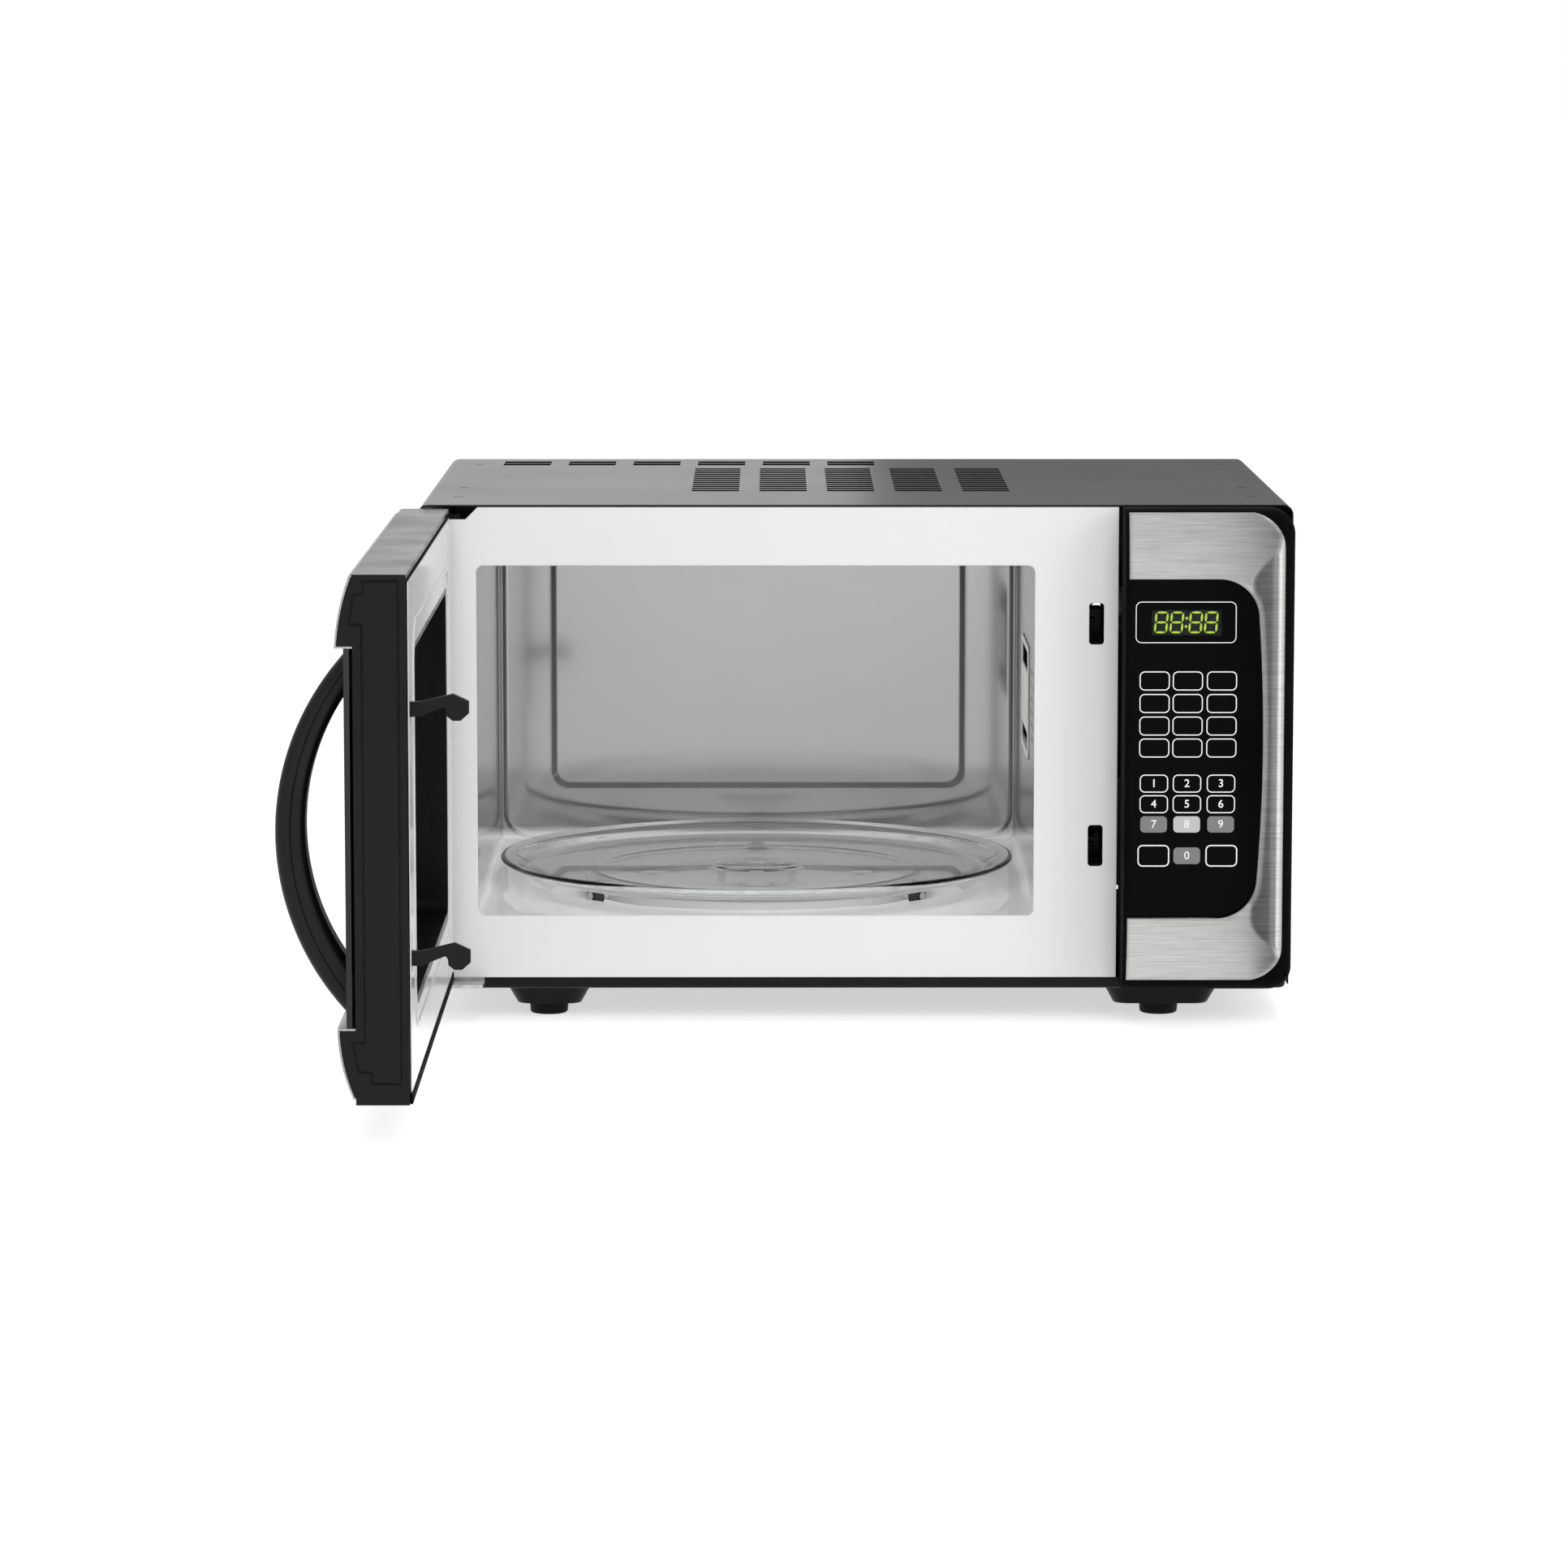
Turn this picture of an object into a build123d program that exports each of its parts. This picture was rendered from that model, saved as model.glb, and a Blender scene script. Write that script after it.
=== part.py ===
import math
import os

from build123d import *

# Countertop microwave oven, door open at a right angle. Millimetres, x to the right, y to the back, z up.
# Front plate face is y = 0, cabinet centre is x = 0 and the counter is z = 0.

# Cabinet
cabinet_half = 256.5
cabinet_top = 308.0
cabinet_back = 360.0
sheet = 0.9
cabinet_bend = 6.0
cabinet_hem = 24.0
rear_flange = 12.0
rear_gap = 0.1

# Top vents
louvre_groups = 5
louvre_first = -83.0
louvre_pitch = 40.8
louvre_width = 28.5
louvre_front = 97.0
louvre_rear = 283.0
louvre_count = 12
louvre_open = 0.7
rear_slots = 6
rear_slot_first = -205.0
rear_slot_pitch = 41.3
rear_slot_width = 30.0
rear_slot_depth = 15.0
rear_slot_rows = (313.5, 332.0)
lance_x = 235.5
lance_rows = (58.5, 127.5, 314.0)

# Front plate and oven opening
plate_left = -254.8
plate_right = 154.3
plate_bottom = 28.1
plate_top = 306.6
plate_sheet = 0.8
plate_flange = 11.0
notch_x = -228.5
notch_z = 299.5
notch_chamfer = 7.0
opening_left = -222.3
opening_right = 105.3
opening_bottom = 65.0
opening_top = 272.3
opening_radius = 4.0
slot_x = 141.6
slot_width = 8.7
slot_height = 24.4
slot_z = (238.0, 106.6)

# Oven cavity
cavity_left = -223.5
cavity_right = 107.5
cavity_floor = 64.0
cavity_roof = 274.0
cavity_back = 338.0
cavity_sheet = 0.8
cavity_edge = 5.0
pan_depth = 7.0
pan_ledge = 1.5
pan_corner = 16.0
pan_top_corner = 4.0
pan_bend = 3.0
back_press = 3.0

# Turntable
table_x = -58.5
table_y = 167.0
well_floor = 53.4
well_radius = 128.0
well_rim = 140.0
tray_radius = 158.3
tray_under = 66.9
tray_glass = 4.5
tray_rim = 78.7
roller_circle = 113.0
roller_radius = 6.3
roller_width = 6.0
roller_axle = 1.6
roller_z = 60.2
roller_angles = (90, 210, 330)
running_gap = 0.06

# Cooling fan
fan_x = 195.0
fan_z = 177.0

# Base and feet
base_bottom = 20.8
base_half = 255.2
base_front = 3.4
base_rear = 358.0
base_wall = 1.0
foot_x = 182.5
foot_front = 45.0
foot_rear = 315.0
foot_radius = 11.8
foot_height = 8.8
foot_stem = 4.0

# Door, drawn shut and then swung open on its hinge axis
hinge_x = -248.6
hinge_y = -13.0
pin_radius = 3.0
door_left = -256.0
door_right = 154.4
door_bottom = 28.6
door_top = 306.3
door_face = -34.6
door_body = -30.0
door_rear = -2.0
door_wall = 2.5
door_panel_face = -1.0
door_corner = 4.0
window_left = -211.0
window_right = 101.6
window_bottom = 71.5
window_top = 265.5
window_corner = 12.0
reveal_wall = 4.0
rebate = 2.0
screen_face = -22.0
bead_out = 12.0
bead_width = 3.0
bead_rise = 0.5
seam_width = 1.0

# Brushed trim, the same section on the door and on the control panel
trim_crest = -39.4
trim_skin = 1.0
trim_top = 306.0
trim_bottom = 31.5
crest_top = 267.5
crest_bottom = 72.6
inset_top = 268.0
inset_bottom = 69.0
trim_corner = 22.0
corner_lap = 0.3
trim_roll = 6.0
trim_curve = 24.0
trim_sweep = 1.6
trim_brow = -31.5
trim_chin = -31.2
trim_upper = (-37.4, 284.6)
trim_lower = (-37.5, 51.0)
door_trim_left = -249.4
panel_trim_left = 158.4
panel_trim_right = 249.4
panel_bulge = 236.8
door_bulge = -236.8

# Control panel
housing_left = 156.3
housing_right = 255.8
housing_bottom = 24.0
housing_top = 307.2
housing_back = 0.2
housing_wall = 2.2
keypad_thick = 1.0
key_rise = 0.25
key_columns = (173.7, 193.0, 212.8)
function_rows = (208.2, 195.0, 181.8, 168.9)
number_rows = (148.0, 135.9, 124.0)
control_row = 105.5
function_key = (18.0, 11.6)
number_key = (17.0, 11.0)
control_key = (19.0, 13.2)
display_centre = (192.0, 242.2)
display_size = (40.6, 15.2)

# Handle
handle_x = 128.0
handle_width = 22.0
handle_reach = -72.4
handle_inside = -56.6
handle_top = 264.6
handle_bottom = 73.4
handle_foot = 22.0
handle_round = 5.0
handle_seam = 0.6

# Latch
hook_x = 140.5
hook_width = 4.6
hook_pitch = 130.8
bar_left = 136.0
bar_right = 145.0
spring_radius = 3.6
spring_wire = 0.45
spring_turns = 7

# Rest pose limits, used to centre the part on its own footprint
offset_x = -(hinge_x + handle_reach - hinge_y + cabinet_half) / 2
offset_y = -(hinge_y - (door_right - hinge_x) + cabinet_back) / 2


def block(x0, x1, y0, y1, z0, z1):
    centre = Pos((x0 + x1) / 2, (y0 + y1) / 2, (z0 + z1) / 2)
    return centre * Box(x1 - x0, y1 - y0, z1 - z0)


def rect(x0, x1, z0, z1, radius=0.0):
    place = Pos((x0 + x1) / 2, (z0 + z1) / 2)
    if radius > 0:
        return place * RectangleRounded(x1 - x0, z1 - z0, radius)
    return place * Rectangle(x1 - x0, z1 - z0)


def facing(sketch, y0, y1):
    # A front-view outline (x, z) carried from y0 back to y1.
    plane = Plane(origin=(0, y1, 0), x_dir=(1, 0, 0), z_dir=(0, -1, 0))
    return extrude(plane * sketch, y1 - y0)


def sideways(sketch, x0, x1):
    # A side-view outline (y, z) carried from x0 to x1.
    plane = Plane(origin=(x0, 0, 0), x_dir=(0, 1, 0), z_dir=(1, 0, 0))
    return extrude(plane * sketch, x1 - x0)


def upright(sketch, z0, z1):
    # A plan-view outline (x, y) carried from z0 up to z1.
    return extrude(Plane.XY.offset(z0) * sketch, z1 - z0)


def rod_x(x0, x1, y, z, radius):
    return sideways(Pos(y, z) * Circle(radius), x0, x1)


def rod_y(y0, y1, x, z, radius):
    return facing(Pos(x, z) * Circle(radius), y0, y1)


def rod_z(z0, z1, x, y, radius):
    return upright(Pos(x, y) * Circle(radius), z0, z1)


def outline(*points):
    return make_face(Polyline(*points, close=True))


def swing_open(part):
    return Pos(hinge_x, hinge_y, 0) * Rot(0, 0, -90) * Pos(-hinge_x, -hinge_y, 0) * part


# Cabinet sheet metal


def wrapper_section(inset):
    half = cabinet_half - inset
    top = cabinet_top - inset
    section = rect(-half, half, cabinet_hem, top)
    upper = section.vertices().sort_by(Axis.Y)[-2:]
    return fillet(upper, max(cabinet_bend - inset, 1.0))


def make_outer_cabinet():
    front = 0.5
    shell = facing(wrapper_section(0), front, cabinet_back)
    shell -= facing(wrapper_section(sheet), front, cabinet_back - sheet)
    lip = rear_flange
    shell -= facing(wrapper_section(lip), cabinet_back - sheet, cabinet_back)
    shell -= block(-cabinet_half + lip, cabinet_half - lip, front, cabinet_back, 0, cabinet_hem + lip)
    pitch = (louvre_rear - louvre_front) / louvre_count
    cuts = []
    for group in range(louvre_groups):
        x = louvre_first + group * louvre_pitch
        for row in range(louvre_count):
            y = louvre_front + (row + 0.5) * pitch
            cuts.append(Pos(x, y, cabinet_top) * Box(louvre_width, pitch * louvre_open, cabinet_bend))
    for slot in range(rear_slots):
        x = rear_slot_first + slot * rear_slot_pitch
        for y in rear_slot_rows:
            cuts.append(Pos(x, y, cabinet_top) * Box(rear_slot_width, rear_slot_depth, cabinet_bend))
    for side in (-1, 1):
        for y in lance_rows:
            cuts.append(Pos(side * lance_x, y, cabinet_top) * Box(5.5, 2.4, cabinet_bend))
    # Air slots low on both sides
    side_rows = 6
    for side in (-1, 1):
        for row in range(side_rows):
            z = 70.0 + row * 11.0
            cuts.append(Pos(side * cabinet_half, 270.0, z) * Box(cabinet_bend, 60.0, 4.5))
    return shell - cuts


def make_base_plate():
    floor = rect(-base_half, base_half, base_front, base_rear, 5.0)
    tray = upright(floor, base_bottom, 27.6)
    tray = fillet(tray.edges().group_by(Axis.Z)[0], 2.5)
    inner = rect(
        -base_half + base_wall, base_half - base_wall, base_front + base_wall, base_rear - base_wall, 4.0
    )
    tray -= upright(inner, base_bottom + base_wall, 30.0)
    for x, half in ((-foot_x + 1.0, 19.0), (foot_x, 28.0)):
        for y in (foot_front, foot_rear):
            floor_level = Plane.XY.offset(base_bottom + base_wall) * Pos(x, y)
            foot_level = Plane.XY.offset(foot_height) * Pos(x, y)
            inner_level = Plane.XY.offset(foot_height + base_wall) * Pos(x, y)
            wide = floor_level * RectangleRounded(2 * half + 14, 62, 12)
            low = foot_level * RectangleRounded(2 * half, 48, 9)
            wide_in = floor_level * RectangleRounded(2 * half + 11.6, 59.6, 11)
            low_in = inner_level * RectangleRounded(2 * half - 2.4, 45.6, 8)
            tray += loft([low, wide])
            tray -= loft([low_in, wide_in])
    for x in (-foot_x, foot_x):
        for y in (foot_front, foot_rear):
            tray -= rod_z(0, base_bottom, x, y, 4.1)
    # Air slots under the turntable motor and the transformer
    for row in range(5):
        tray -= block(-92.0, -25.0, 130.0 + row * 16.0, 137.0 + row * 16.0, 15.0, 25.0)
        tray -= block(90.0, 140.0, 60.0 + row * 16.0, 66.0 + row * 16.0, 15.0, 25.0)
    return tray


def make_rear_panel():
    y1 = cabinet_back - sheet - rear_gap
    y0 = y1 - plate_sheet
    panel = facing(rect(-253.0, 253.0, 30.0, 304.0, 4.0), y0, y1)
    # Fan intake grille: slots cut to a circle
    for row in range(-5, 6):
        z = fan_z + row * 9.0
        half = math.sqrt(56.0**2 - (row * 9.0) ** 2) - 3.0
        panel -= block(fan_x - half, fan_x - 2.0, y0 - 1, y1 + 1, z - 2.6, z + 2.6)
        panel -= block(fan_x + 2.0, fan_x + half, y0 - 1, y1 + 1, z - 2.6, z + 2.6)
    # Exhaust slots behind the oven box
    for column in range(9):
        x = -205.0 + column * 22.0
        panel -= facing(rect(x, x + 12.0, 240.0, 285.0, 2.0), y0 - 1, y1 + 1)
    panel -= rod_y(y0 - 1, y1 + 1, 218.0, 52.0, 8.2)
    return panel


def make_front_plate():
    face = rect(plate_left, plate_right, plate_bottom, plate_top)
    corner = outline(
        (plate_left, notch_z), (notch_x, notch_z), (notch_x + notch_chamfer, notch_z + notch_chamfer),
        (notch_x + notch_chamfer, plate_top + 1), (plate_left, plate_top + 1),
    )
    body = facing(face, 0, plate_flange)
    body -= block(
        plate_left + plate_sheet, plate_right - plate_sheet, plate_sheet, 40.0,
        plate_bottom + plate_sheet, plate_top - plate_sheet,
    )
    body -= facing(corner, -1.0, 40.0)
    # The lower flange stops short of the hinge leg
    body -= block(plate_left, -212.0, plate_sheet, 40.0, plate_bottom - 1, plate_bottom + 4.0)
    body -= facing(rect(opening_left, opening_right, opening_bottom, opening_top, opening_radius), -1, 40)
    for z in slot_z:
        body -= facing(Pos(slot_x, z) * RectangleRounded(slot_width, slot_height, 2.0), -1, 40)
    return body


def cavity_form(grow):
    # Folded wrapper with small bends, closed by a back pan with rounder lower corners
    wrap_back = cavity_back - pan_depth
    box = block(
        cavity_left - grow, cavity_right + grow, plate_sheet, wrap_back + grow,
        cavity_floor - grow, cavity_roof + grow,
    )
    box = fillet(box.edges().filter_by(Axis.Y), cavity_edge + grow)
    pan = block(
        cavity_left + pan_ledge - grow, cavity_right - pan_ledge + grow,
        wrap_back - pan_depth, cavity_back + grow,
        cavity_floor + pan_ledge - grow, cavity_roof - pan_ledge + grow,
    )
    pan = fillet(pan.edges().filter_by(Axis.Y).group_by(Axis.Z)[0], pan_corner + grow)
    pan = fillet(pan.edges().filter_by(Axis.Y).group_by(Axis.Z)[-1], pan_top_corner + grow)
    box += fillet(pan.edges().group_by(Axis.Y)[-1], pan_bend + grow)
    well = Solid.make_cone(
        well_radius + grow, well_rim + grow, cavity_floor - well_floor,
        Plane(origin=(table_x, table_y, well_floor - grow)),
    )
    box += Part(well.wrapped)
    # Pressed panel in the back wall
    low_face = rect(-192.0 - grow, 76.0 + grow, 96.0 - grow, 252.0 + grow, 10.0)
    deep_face = rect(-188.0 - grow, 72.0 + grow, 100.0 - grow, 248.0 + grow, 10.0)
    at_wall = Plane(origin=(0, cavity_back - 0.5 + grow, 0), x_dir=(1, 0, 0), z_dir=(0, -1, 0))
    at_press = Plane(origin=(0, cavity_back + back_press + grow, 0), x_dir=(1, 0, 0), z_dir=(0, -1, 0))
    box += loft([at_press * deep_face, at_wall * low_face])
    return box


def make_oven_cavity():
    shell = cavity_form(cavity_sheet) - cavity_form(0)
    shell -= rod_z(40.0, 60.0, table_x, table_y, 9.0)
    # Waveguide window and air holes in the right wall, steam holes in the roof
    cuts = [block(100.0, 112.0, 124.0, 208.0, 148.0, 205.0)]
    for column in range(6):
        for row in range(6):
            y = 64.0 + column * 7.0
            cuts.append(rod_x(100.0, 112.0, y, 160.0 + row * 8.0, 1.6))
            cuts.append(rod_z(270.0, 280.0, -196.0 + row * 7.0, 40.0 + column * 7.0, 1.6))
    for column in range(3):
        for row in range(3):
            cuts.append(rod_x(100.0, 112.0, 293.0 + column * 7.0, 243.0 + row * 7.0, 1.6))
    return shell - cuts


def make_waveguide_cover():
    sheet_face = rect(120.0, 212.0, 142.0, 211.0, 3.0)
    cover = sideways(sheet_face, cavity_right - 1.0, cavity_right - 0.2)
    for z0, z1 in ((145.5, 158.0), (194.5, 207.5)):
        cover -= sideways(rect(126.0, 206.0, z0, z1, 2.0), cavity_right - 2.0, cavity_right)
    return cover


def make_waveguide():
    x0 = cavity_right + cavity_sheet
    duct = block(x0, 148.0, 118.0, 270.0, 138.0, 216.0)
    duct -= block(x0 - 1, 147.0, 119.0, 269.0, 139.0, 215.0)
    duct += block(x0, x0 + 1.0, 110.5, 118.5, 138.0, 216.0)
    duct += block(x0, x0 + 1.0, 269.5, 280.0, 138.0, 216.0)
    return duct - rod_x(140.0, 150.0, 232.0, 177.0, 12.0)


def make_magnetron():
    y, z = 232.0, 177.0
    yoke = block(148.0, 206.0, y - 45, y + 45, z - 40, z + 40)
    yoke -= block(150.0, 204.0, y - 46, y + 46, z - 38, z + 38)
    anode = rod_x(149.0, 205.0, y, z, 19.0)
    body = yoke + anode
    for fin in range(8):
        x = 157.0 + fin * 5.6
        body += block(x, x + 0.8, y - 42, y + 42, z - 38.5, z + 38.5)
    body += rod_x(126.0, 149.0, y, z, 9.0)
    body += rod_x(136.0, 149.0, y, z, 11.5)
    filter_box = block(206.0, 230.0, y - 30, y + 30, z - 27, z + 27)
    body += fillet(filter_box.edges().filter_by(Axis.X), 3.0)
    body += block(210.0, 224.0, y - 38, y - 29, z - 9, z + 9)
    return body


def make_magnetron_cutout():
    cap = rod_z(217.2, 223.0, 178.0, 232.0, 7.5)
    cap += block(164.0, 192.0, 228.0, 236.0, 217.2, 218.2)
    cap += block(171.0, 173.0, 229.0, 235.0, 222.0, 230.0)
    cap += block(183.0, 185.0, 229.0, 235.0, 222.0, 230.0)
    return cap


def make_cavity_cutout():
    z = cavity_roof + cavity_sheet
    cap = rod_z(z, z + 6.0, table_x, 60.0, 7.5)
    cap += block(table_x - 14, table_x + 14, 56.0, 64.0, z, z + 1.0)
    cap += block(table_x - 7, table_x - 5, 57.0, 63.0, z + 5.0, z + 12.0)
    cap += block(table_x + 5, table_x + 7, 57.0, 63.0, z + 5.0, z + 12.0)
    return cap


def make_transformer_core():
    z0 = base_bottom + base_wall
    core = block(163.0, 247.0, 75.0, 133.0, z0 + 2.0, z0 + 72.0)
    core -= block(177.0, 191.0, 70.0, 140.0, z0 + 16.0, z0 + 58.0)
    core -= block(219.0, 233.0, 70.0, 140.0, z0 + 16.0, z0 + 58.0)
    core += block(156.0, 253.6, 80.0, 128.0, z0, z0 + 2.0)
    core -= rod_z(z0 - 1, z0 + 3, 159.0, 104.0, 2.6)
    return core - rod_z(z0 - 1, z0 + 3, 250.0, 104.0, 2.6)


def make_transformer_coils():
    z0 = base_bottom + base_wall
    coils = []
    for low, high in ((17.0, 34.5), (39.5, 57.0)):
        outer = rect(177.6, 232.4, 61.0, 147.0, 10.0)
        inner = rect(190.6, 219.4, 74.4, 133.6, 1.0)
        coils.append(upright(outer - inner, z0 + low, z0 + high))
    return coils


def make_capacitor():
    can = facing(Pos(222.0, 45.0) * SlotOverall(52.0, 33.0), 162.0, 258.0)
    can = fillet(can.edges().group_by(Axis.Y)[-1], 2.0)
    for x in (211.0, 233.0):
        can += rod_y(158.0, 162.5, x, 45.0, 5.0)
        can += block(x - 3.0, x + 3.0, 148.0, 159.0, 44.6, 45.4)
    return can


def make_capacitor_strap():
    around = Pos(222.0, 45.0) * SlotOverall(54.4, 35.4)
    inside = Pos(222.0, 45.0) * SlotOverall(52.4, 33.4)
    strap = facing(around - inside, 205.0, 217.0)
    foot_z = base_bottom + base_wall
    strap += block(192.0, 195.8, 205.0, 217.0, foot_z, 45.0)
    return strap + block(178.0, 195.8, 205.0, 217.0, foot_z, foot_z + 1.2)


def make_diode():
    tube = rod_y(228.0, 246.0, 186.0, 34.0, 4.0)
    tube += rod_y(222.0, 229.0, 186.0, 34.0, 0.9)
    tube += block(183.0, 189.0, 220.0, 223.0, base_bottom + base_wall, 38.0)
    return tube


def make_fan_shroud():
    x, z = fan_x, fan_z
    plate = block(x - 57.0, x + 58.0, 334.0, 336.0, z - 59.5, z + 59.5)
    plate += rod_y(320.0, 357.8, x, z, 58.5)
    plate -= rod_y(310.0, 360.0, x, z, 56.5)
    # Struts that carry the motor
    bars = block(x - 57.2, x + 57.2, 316.0, 321.0, z - 4, z + 4)
    bars += block(x - 4, x + 4, 316.0, 321.0, z - 57.2, z + 57.2)
    bars += rod_y(316.0, 321.0, x, z, 26.0)
    ring = rod_y(316.0, 321.0, x, z, 58.5) - rod_y(315.0, 322.0, x, z, 56.5)
    bars += ring
    plate += bars
    return plate - rod_y(300.0, 330.0, x, z, 5.0)


def make_fan_motor():
    x, z = fan_x, fan_z
    frame = block(x - 28, x + 28, 293.0, 309.0, z - 26, z + 34)
    frame -= block(x - 20, x + 20, 290.0, 312.0, z + 18, z + 26)
    motor = fillet(frame.edges().filter_by(Axis.Y), 2.0)
    motor += block(x - 13, x + 13, 286.0, 315.8, z + 17, z + 27)
    motor += rod_y(284.0, 294.0, x, z, 15.0)
    motor += rod_y(308.0, 315.8, x, z, 15.0)
    return motor - rod_y(280.0, 320.0, x, z, 2.5 + running_gap)


def make_fan_blade():
    x, z = fan_x, fan_z
    hub = rod_y(324.0, 346.0, x, z, 15.0)
    fan = hub + rod_y(288.0, 325.0, x, z, 2.5)
    blades = 7
    for step in range(blades):
        turn = step * 360.0 / blades
        root_plane = Plane(origin=(13.0, 0, 0), x_dir=(0, 1, 0), z_dir=(1, 0, 0))
        tip_plane = Plane(origin=(54.0, 0, 0), x_dir=(0, 1, 0), z_dir=(1, 0, 0))
        root = root_plane * Rot(0, 0, 38) * Rectangle(22.0, 2.0)
        tip = tip_plane * Rot(0, 0, 62) * Rectangle(40.0, 1.6)
        blade = loft([root, tip])
        fan += Pos(x, 335.0, z) * Rot(0, turn, 0) * blade
    swept = rod_y(322.0, 350.0, x, z, 54.0) + rod_y(288.0, 330.0, x, z, 2.5)
    return fan & swept


def make_air_duct():
    bend_out = outline(
        (109.0, 54.0), (206.0, 54.0), (206.0, 186.0), (150.0, 186.0), (150.0, 110.0), (109.0, 110.0)
    )
    bend_in = outline(
        (108.0, 55.5), (204.5, 55.5), (204.5, 187.0), (151.5, 187.0), (151.5, 108.5), (108.0, 108.5)
    )
    duct = upright(bend_out, 140.0, 214.0)
    return duct - upright(bend_in, 141.5, 212.5)


def make_lamp_holder():
    holder = rod_x(146.0, 164.0, 300.0, 251.0, 12.0)
    holder -= rod_x(145.0, 158.0, 300.0, 251.0, 8.1)
    holder += block(146.0, 148.0, 276.0, 289.0, 243.0, 259.0)
    holder += block(cavity_right + cavity_sheet, 148.0, 274.0, 276.0, 243.0, 259.0)
    return holder + block(cavity_right + cavity_sheet, 110.5, 262.0, 275.0, 243.0, 259.0)


def make_oven_lamp():
    profile = make_face(
        Polyline((0, 158), (8, 158), (8, 142), (6.5, 140)) + Spline((6.5, 140), (11, 128), (8, 118), (0, 114))
        + Line((0, 114), (0, 158))
    )
    bulb = revolve(profile, Axis.Y, 360)
    return Pos(0, 300.0, 251.0) * Rot(0, 0, -90) * bulb


def make_filter_board():
    z0 = base_bottom + base_wall
    board = block(116.0, 168.0, 250.0, 312.0, z0 + 10.0, z0 + 11.6)
    for x in (121.0, 163.0):
        for y in (255.0, 307.0):
            board += rod_z(z0, z0 + 10.5, x, y, 2.5)
    board += rod_z(z0 + 11.0, z0 + 24.0, 131.0, 268.0, 11.0) - rod_z(z0, z0 + 40.0, 131.0, 268.0, 5.0)
    board += block(147.0, 164.0, 262.0, 286.0, z0 + 11.0, z0 + 26.0)
    board += rod_x(122.0, 158.0, 300.0, z0 + 16.0, 3.0)
    board += block(122.0, 126.0, 296.0, 304.0, z0 + 11.0, z0 + 18.0)
    return board + block(154.0, 158.0, 296.0, 304.0, z0 + 11.0, z0 + 18.0)


def make_cord_gland():
    y1 = cabinet_back - sheet - rear_gap
    gland = rod_y(y1 - 12.0, y1 + 2.6, 218.0, 52.0, 8.0)
    gland += rod_y(y1 + 0.05, y1 + 2.6, 218.0, 52.0, 10.5)
    return gland - rod_y(y1 - 20.0, y1 + 10.0, 218.0, 52.0, 4.2)


def make_cabinet_screws():
    screws = []
    places = [(-200.0, 302.0), (0.0, 302.0), (200.0, 302.0)]
    places += [(side * 250.4, z) for side in (-1, 1) for z in (80.0, 200.0)]
    for x, z in places:
        head = rod_y(cabinet_back, cabinet_back + 2.2, x, z, 4.0)
        head = fillet(head.edges().group_by(Axis.Y)[-1], 1.2)
        slots = block(x - 2.4, x + 2.4, cabinet_back + 1.2, cabinet_back + 3, z - 0.4, z + 0.4)
        slots += block(x - 0.4, x + 0.4, cabinet_back + 1.2, cabinet_back + 3, z - 2.4, z + 2.4)
        screws.append(head - slots)
    return screws


def make_feet():
    profile = make_face(
        Polyline(
            (0, 0),
            (foot_radius - 1.5, 0),
            (foot_radius - 0.6, 0.8),
            (foot_radius, foot_height),
            (foot_stem, foot_height),
            (foot_stem, foot_height + 5.0),
            (0, foot_height + 5.0),
            close=True,
        )
    )
    foot = revolve(Plane.XZ * profile, Axis.Z, 360)
    return [Pos(x, y, 0) * foot for x in (-foot_x, foot_x) for y in (foot_front, foot_rear)]


# Hinges


def make_upper_hinge():
    leg = block(-253.4, -232.0, 0.9, 2.9, 262.0, 302.3)
    arm = block(-253.4, -243.8, hinge_y, 2.9, 300.3, 302.3)
    arm += rod_z(300.3, 302.3, hinge_x, hinge_y, 6.0)
    plate = leg + arm
    plate -= rod_y(0, 4, -242.0, 282.0, 2.2)
    return plate + rod_z(288.5, 301.0, hinge_x, hinge_y, pin_radius)


def make_lower_hinge():
    leg = block(-253.4, -219.0, 0.9, 2.9, 24.8, 58.0)
    tongue = upright(rect(-255.4, -218.6, -20.5, 2.9, 3.0), 24.8, 26.8)
    plate = leg + tongue
    plate -= rod_y(0, 4, -242.0, 46.0, 2.2)
    plate -= rod_y(0, 4, -228.0, 46.0, 2.2)
    return plate + rod_z(26.0, 40.0, hinge_x, hinge_y, pin_radius)


# Latch board and interlock switches


def hook_low(index):
    return 229.1 - index * hook_pitch


def make_latch_board():
    board = block(120.0, 153.0, 1.0, 3.6, 78.0, 262.0)
    board += block(146.6, 149.2, 3.0, 54.0, 80.0, 258.0)
    board += block(120.0, 122.6, 3.0, 20.0, 80.0, 258.0)
    for index in (0, 1):
        z = slot_z[index]
        board -= facing(Pos(slot_x, z) * RectangleRounded(slot_width + 0.6, slot_height + 0.6, 2.0), 0, 5)
        low = hook_low(index) - 0.5
        # Catch sill that the hook drops behind
        sill = outline((3.6, low - 8.0), (3.6, low - 3.0), (9.0, low), (15.0, low), (15.0, low - 8.0))
        board += sideways(sill, 132.0, 147.0)
    for y, z in switch_pegs():
        board += rod_x(136.0, 147.0, y, z, 1.5)
    for y in (20.0, 40.0):
        board += block(148.0, 153.0, y, y + 2.0, 120.0, 220.0)
    return board


def switch_places():
    # Lower front corner of each switch body in side view.
    return {"primary": (34.0, 216.5), "secondary": (34.0, 82.5), "monitor": (36.5, 114.0)}


def switch_pegs():
    pegs = []
    for y, z in switch_places().values():
        pegs.append((y + 11.0, z + 3.2))
        pegs.append((y + 11.0, z + 24.8))
    return pegs


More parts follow.
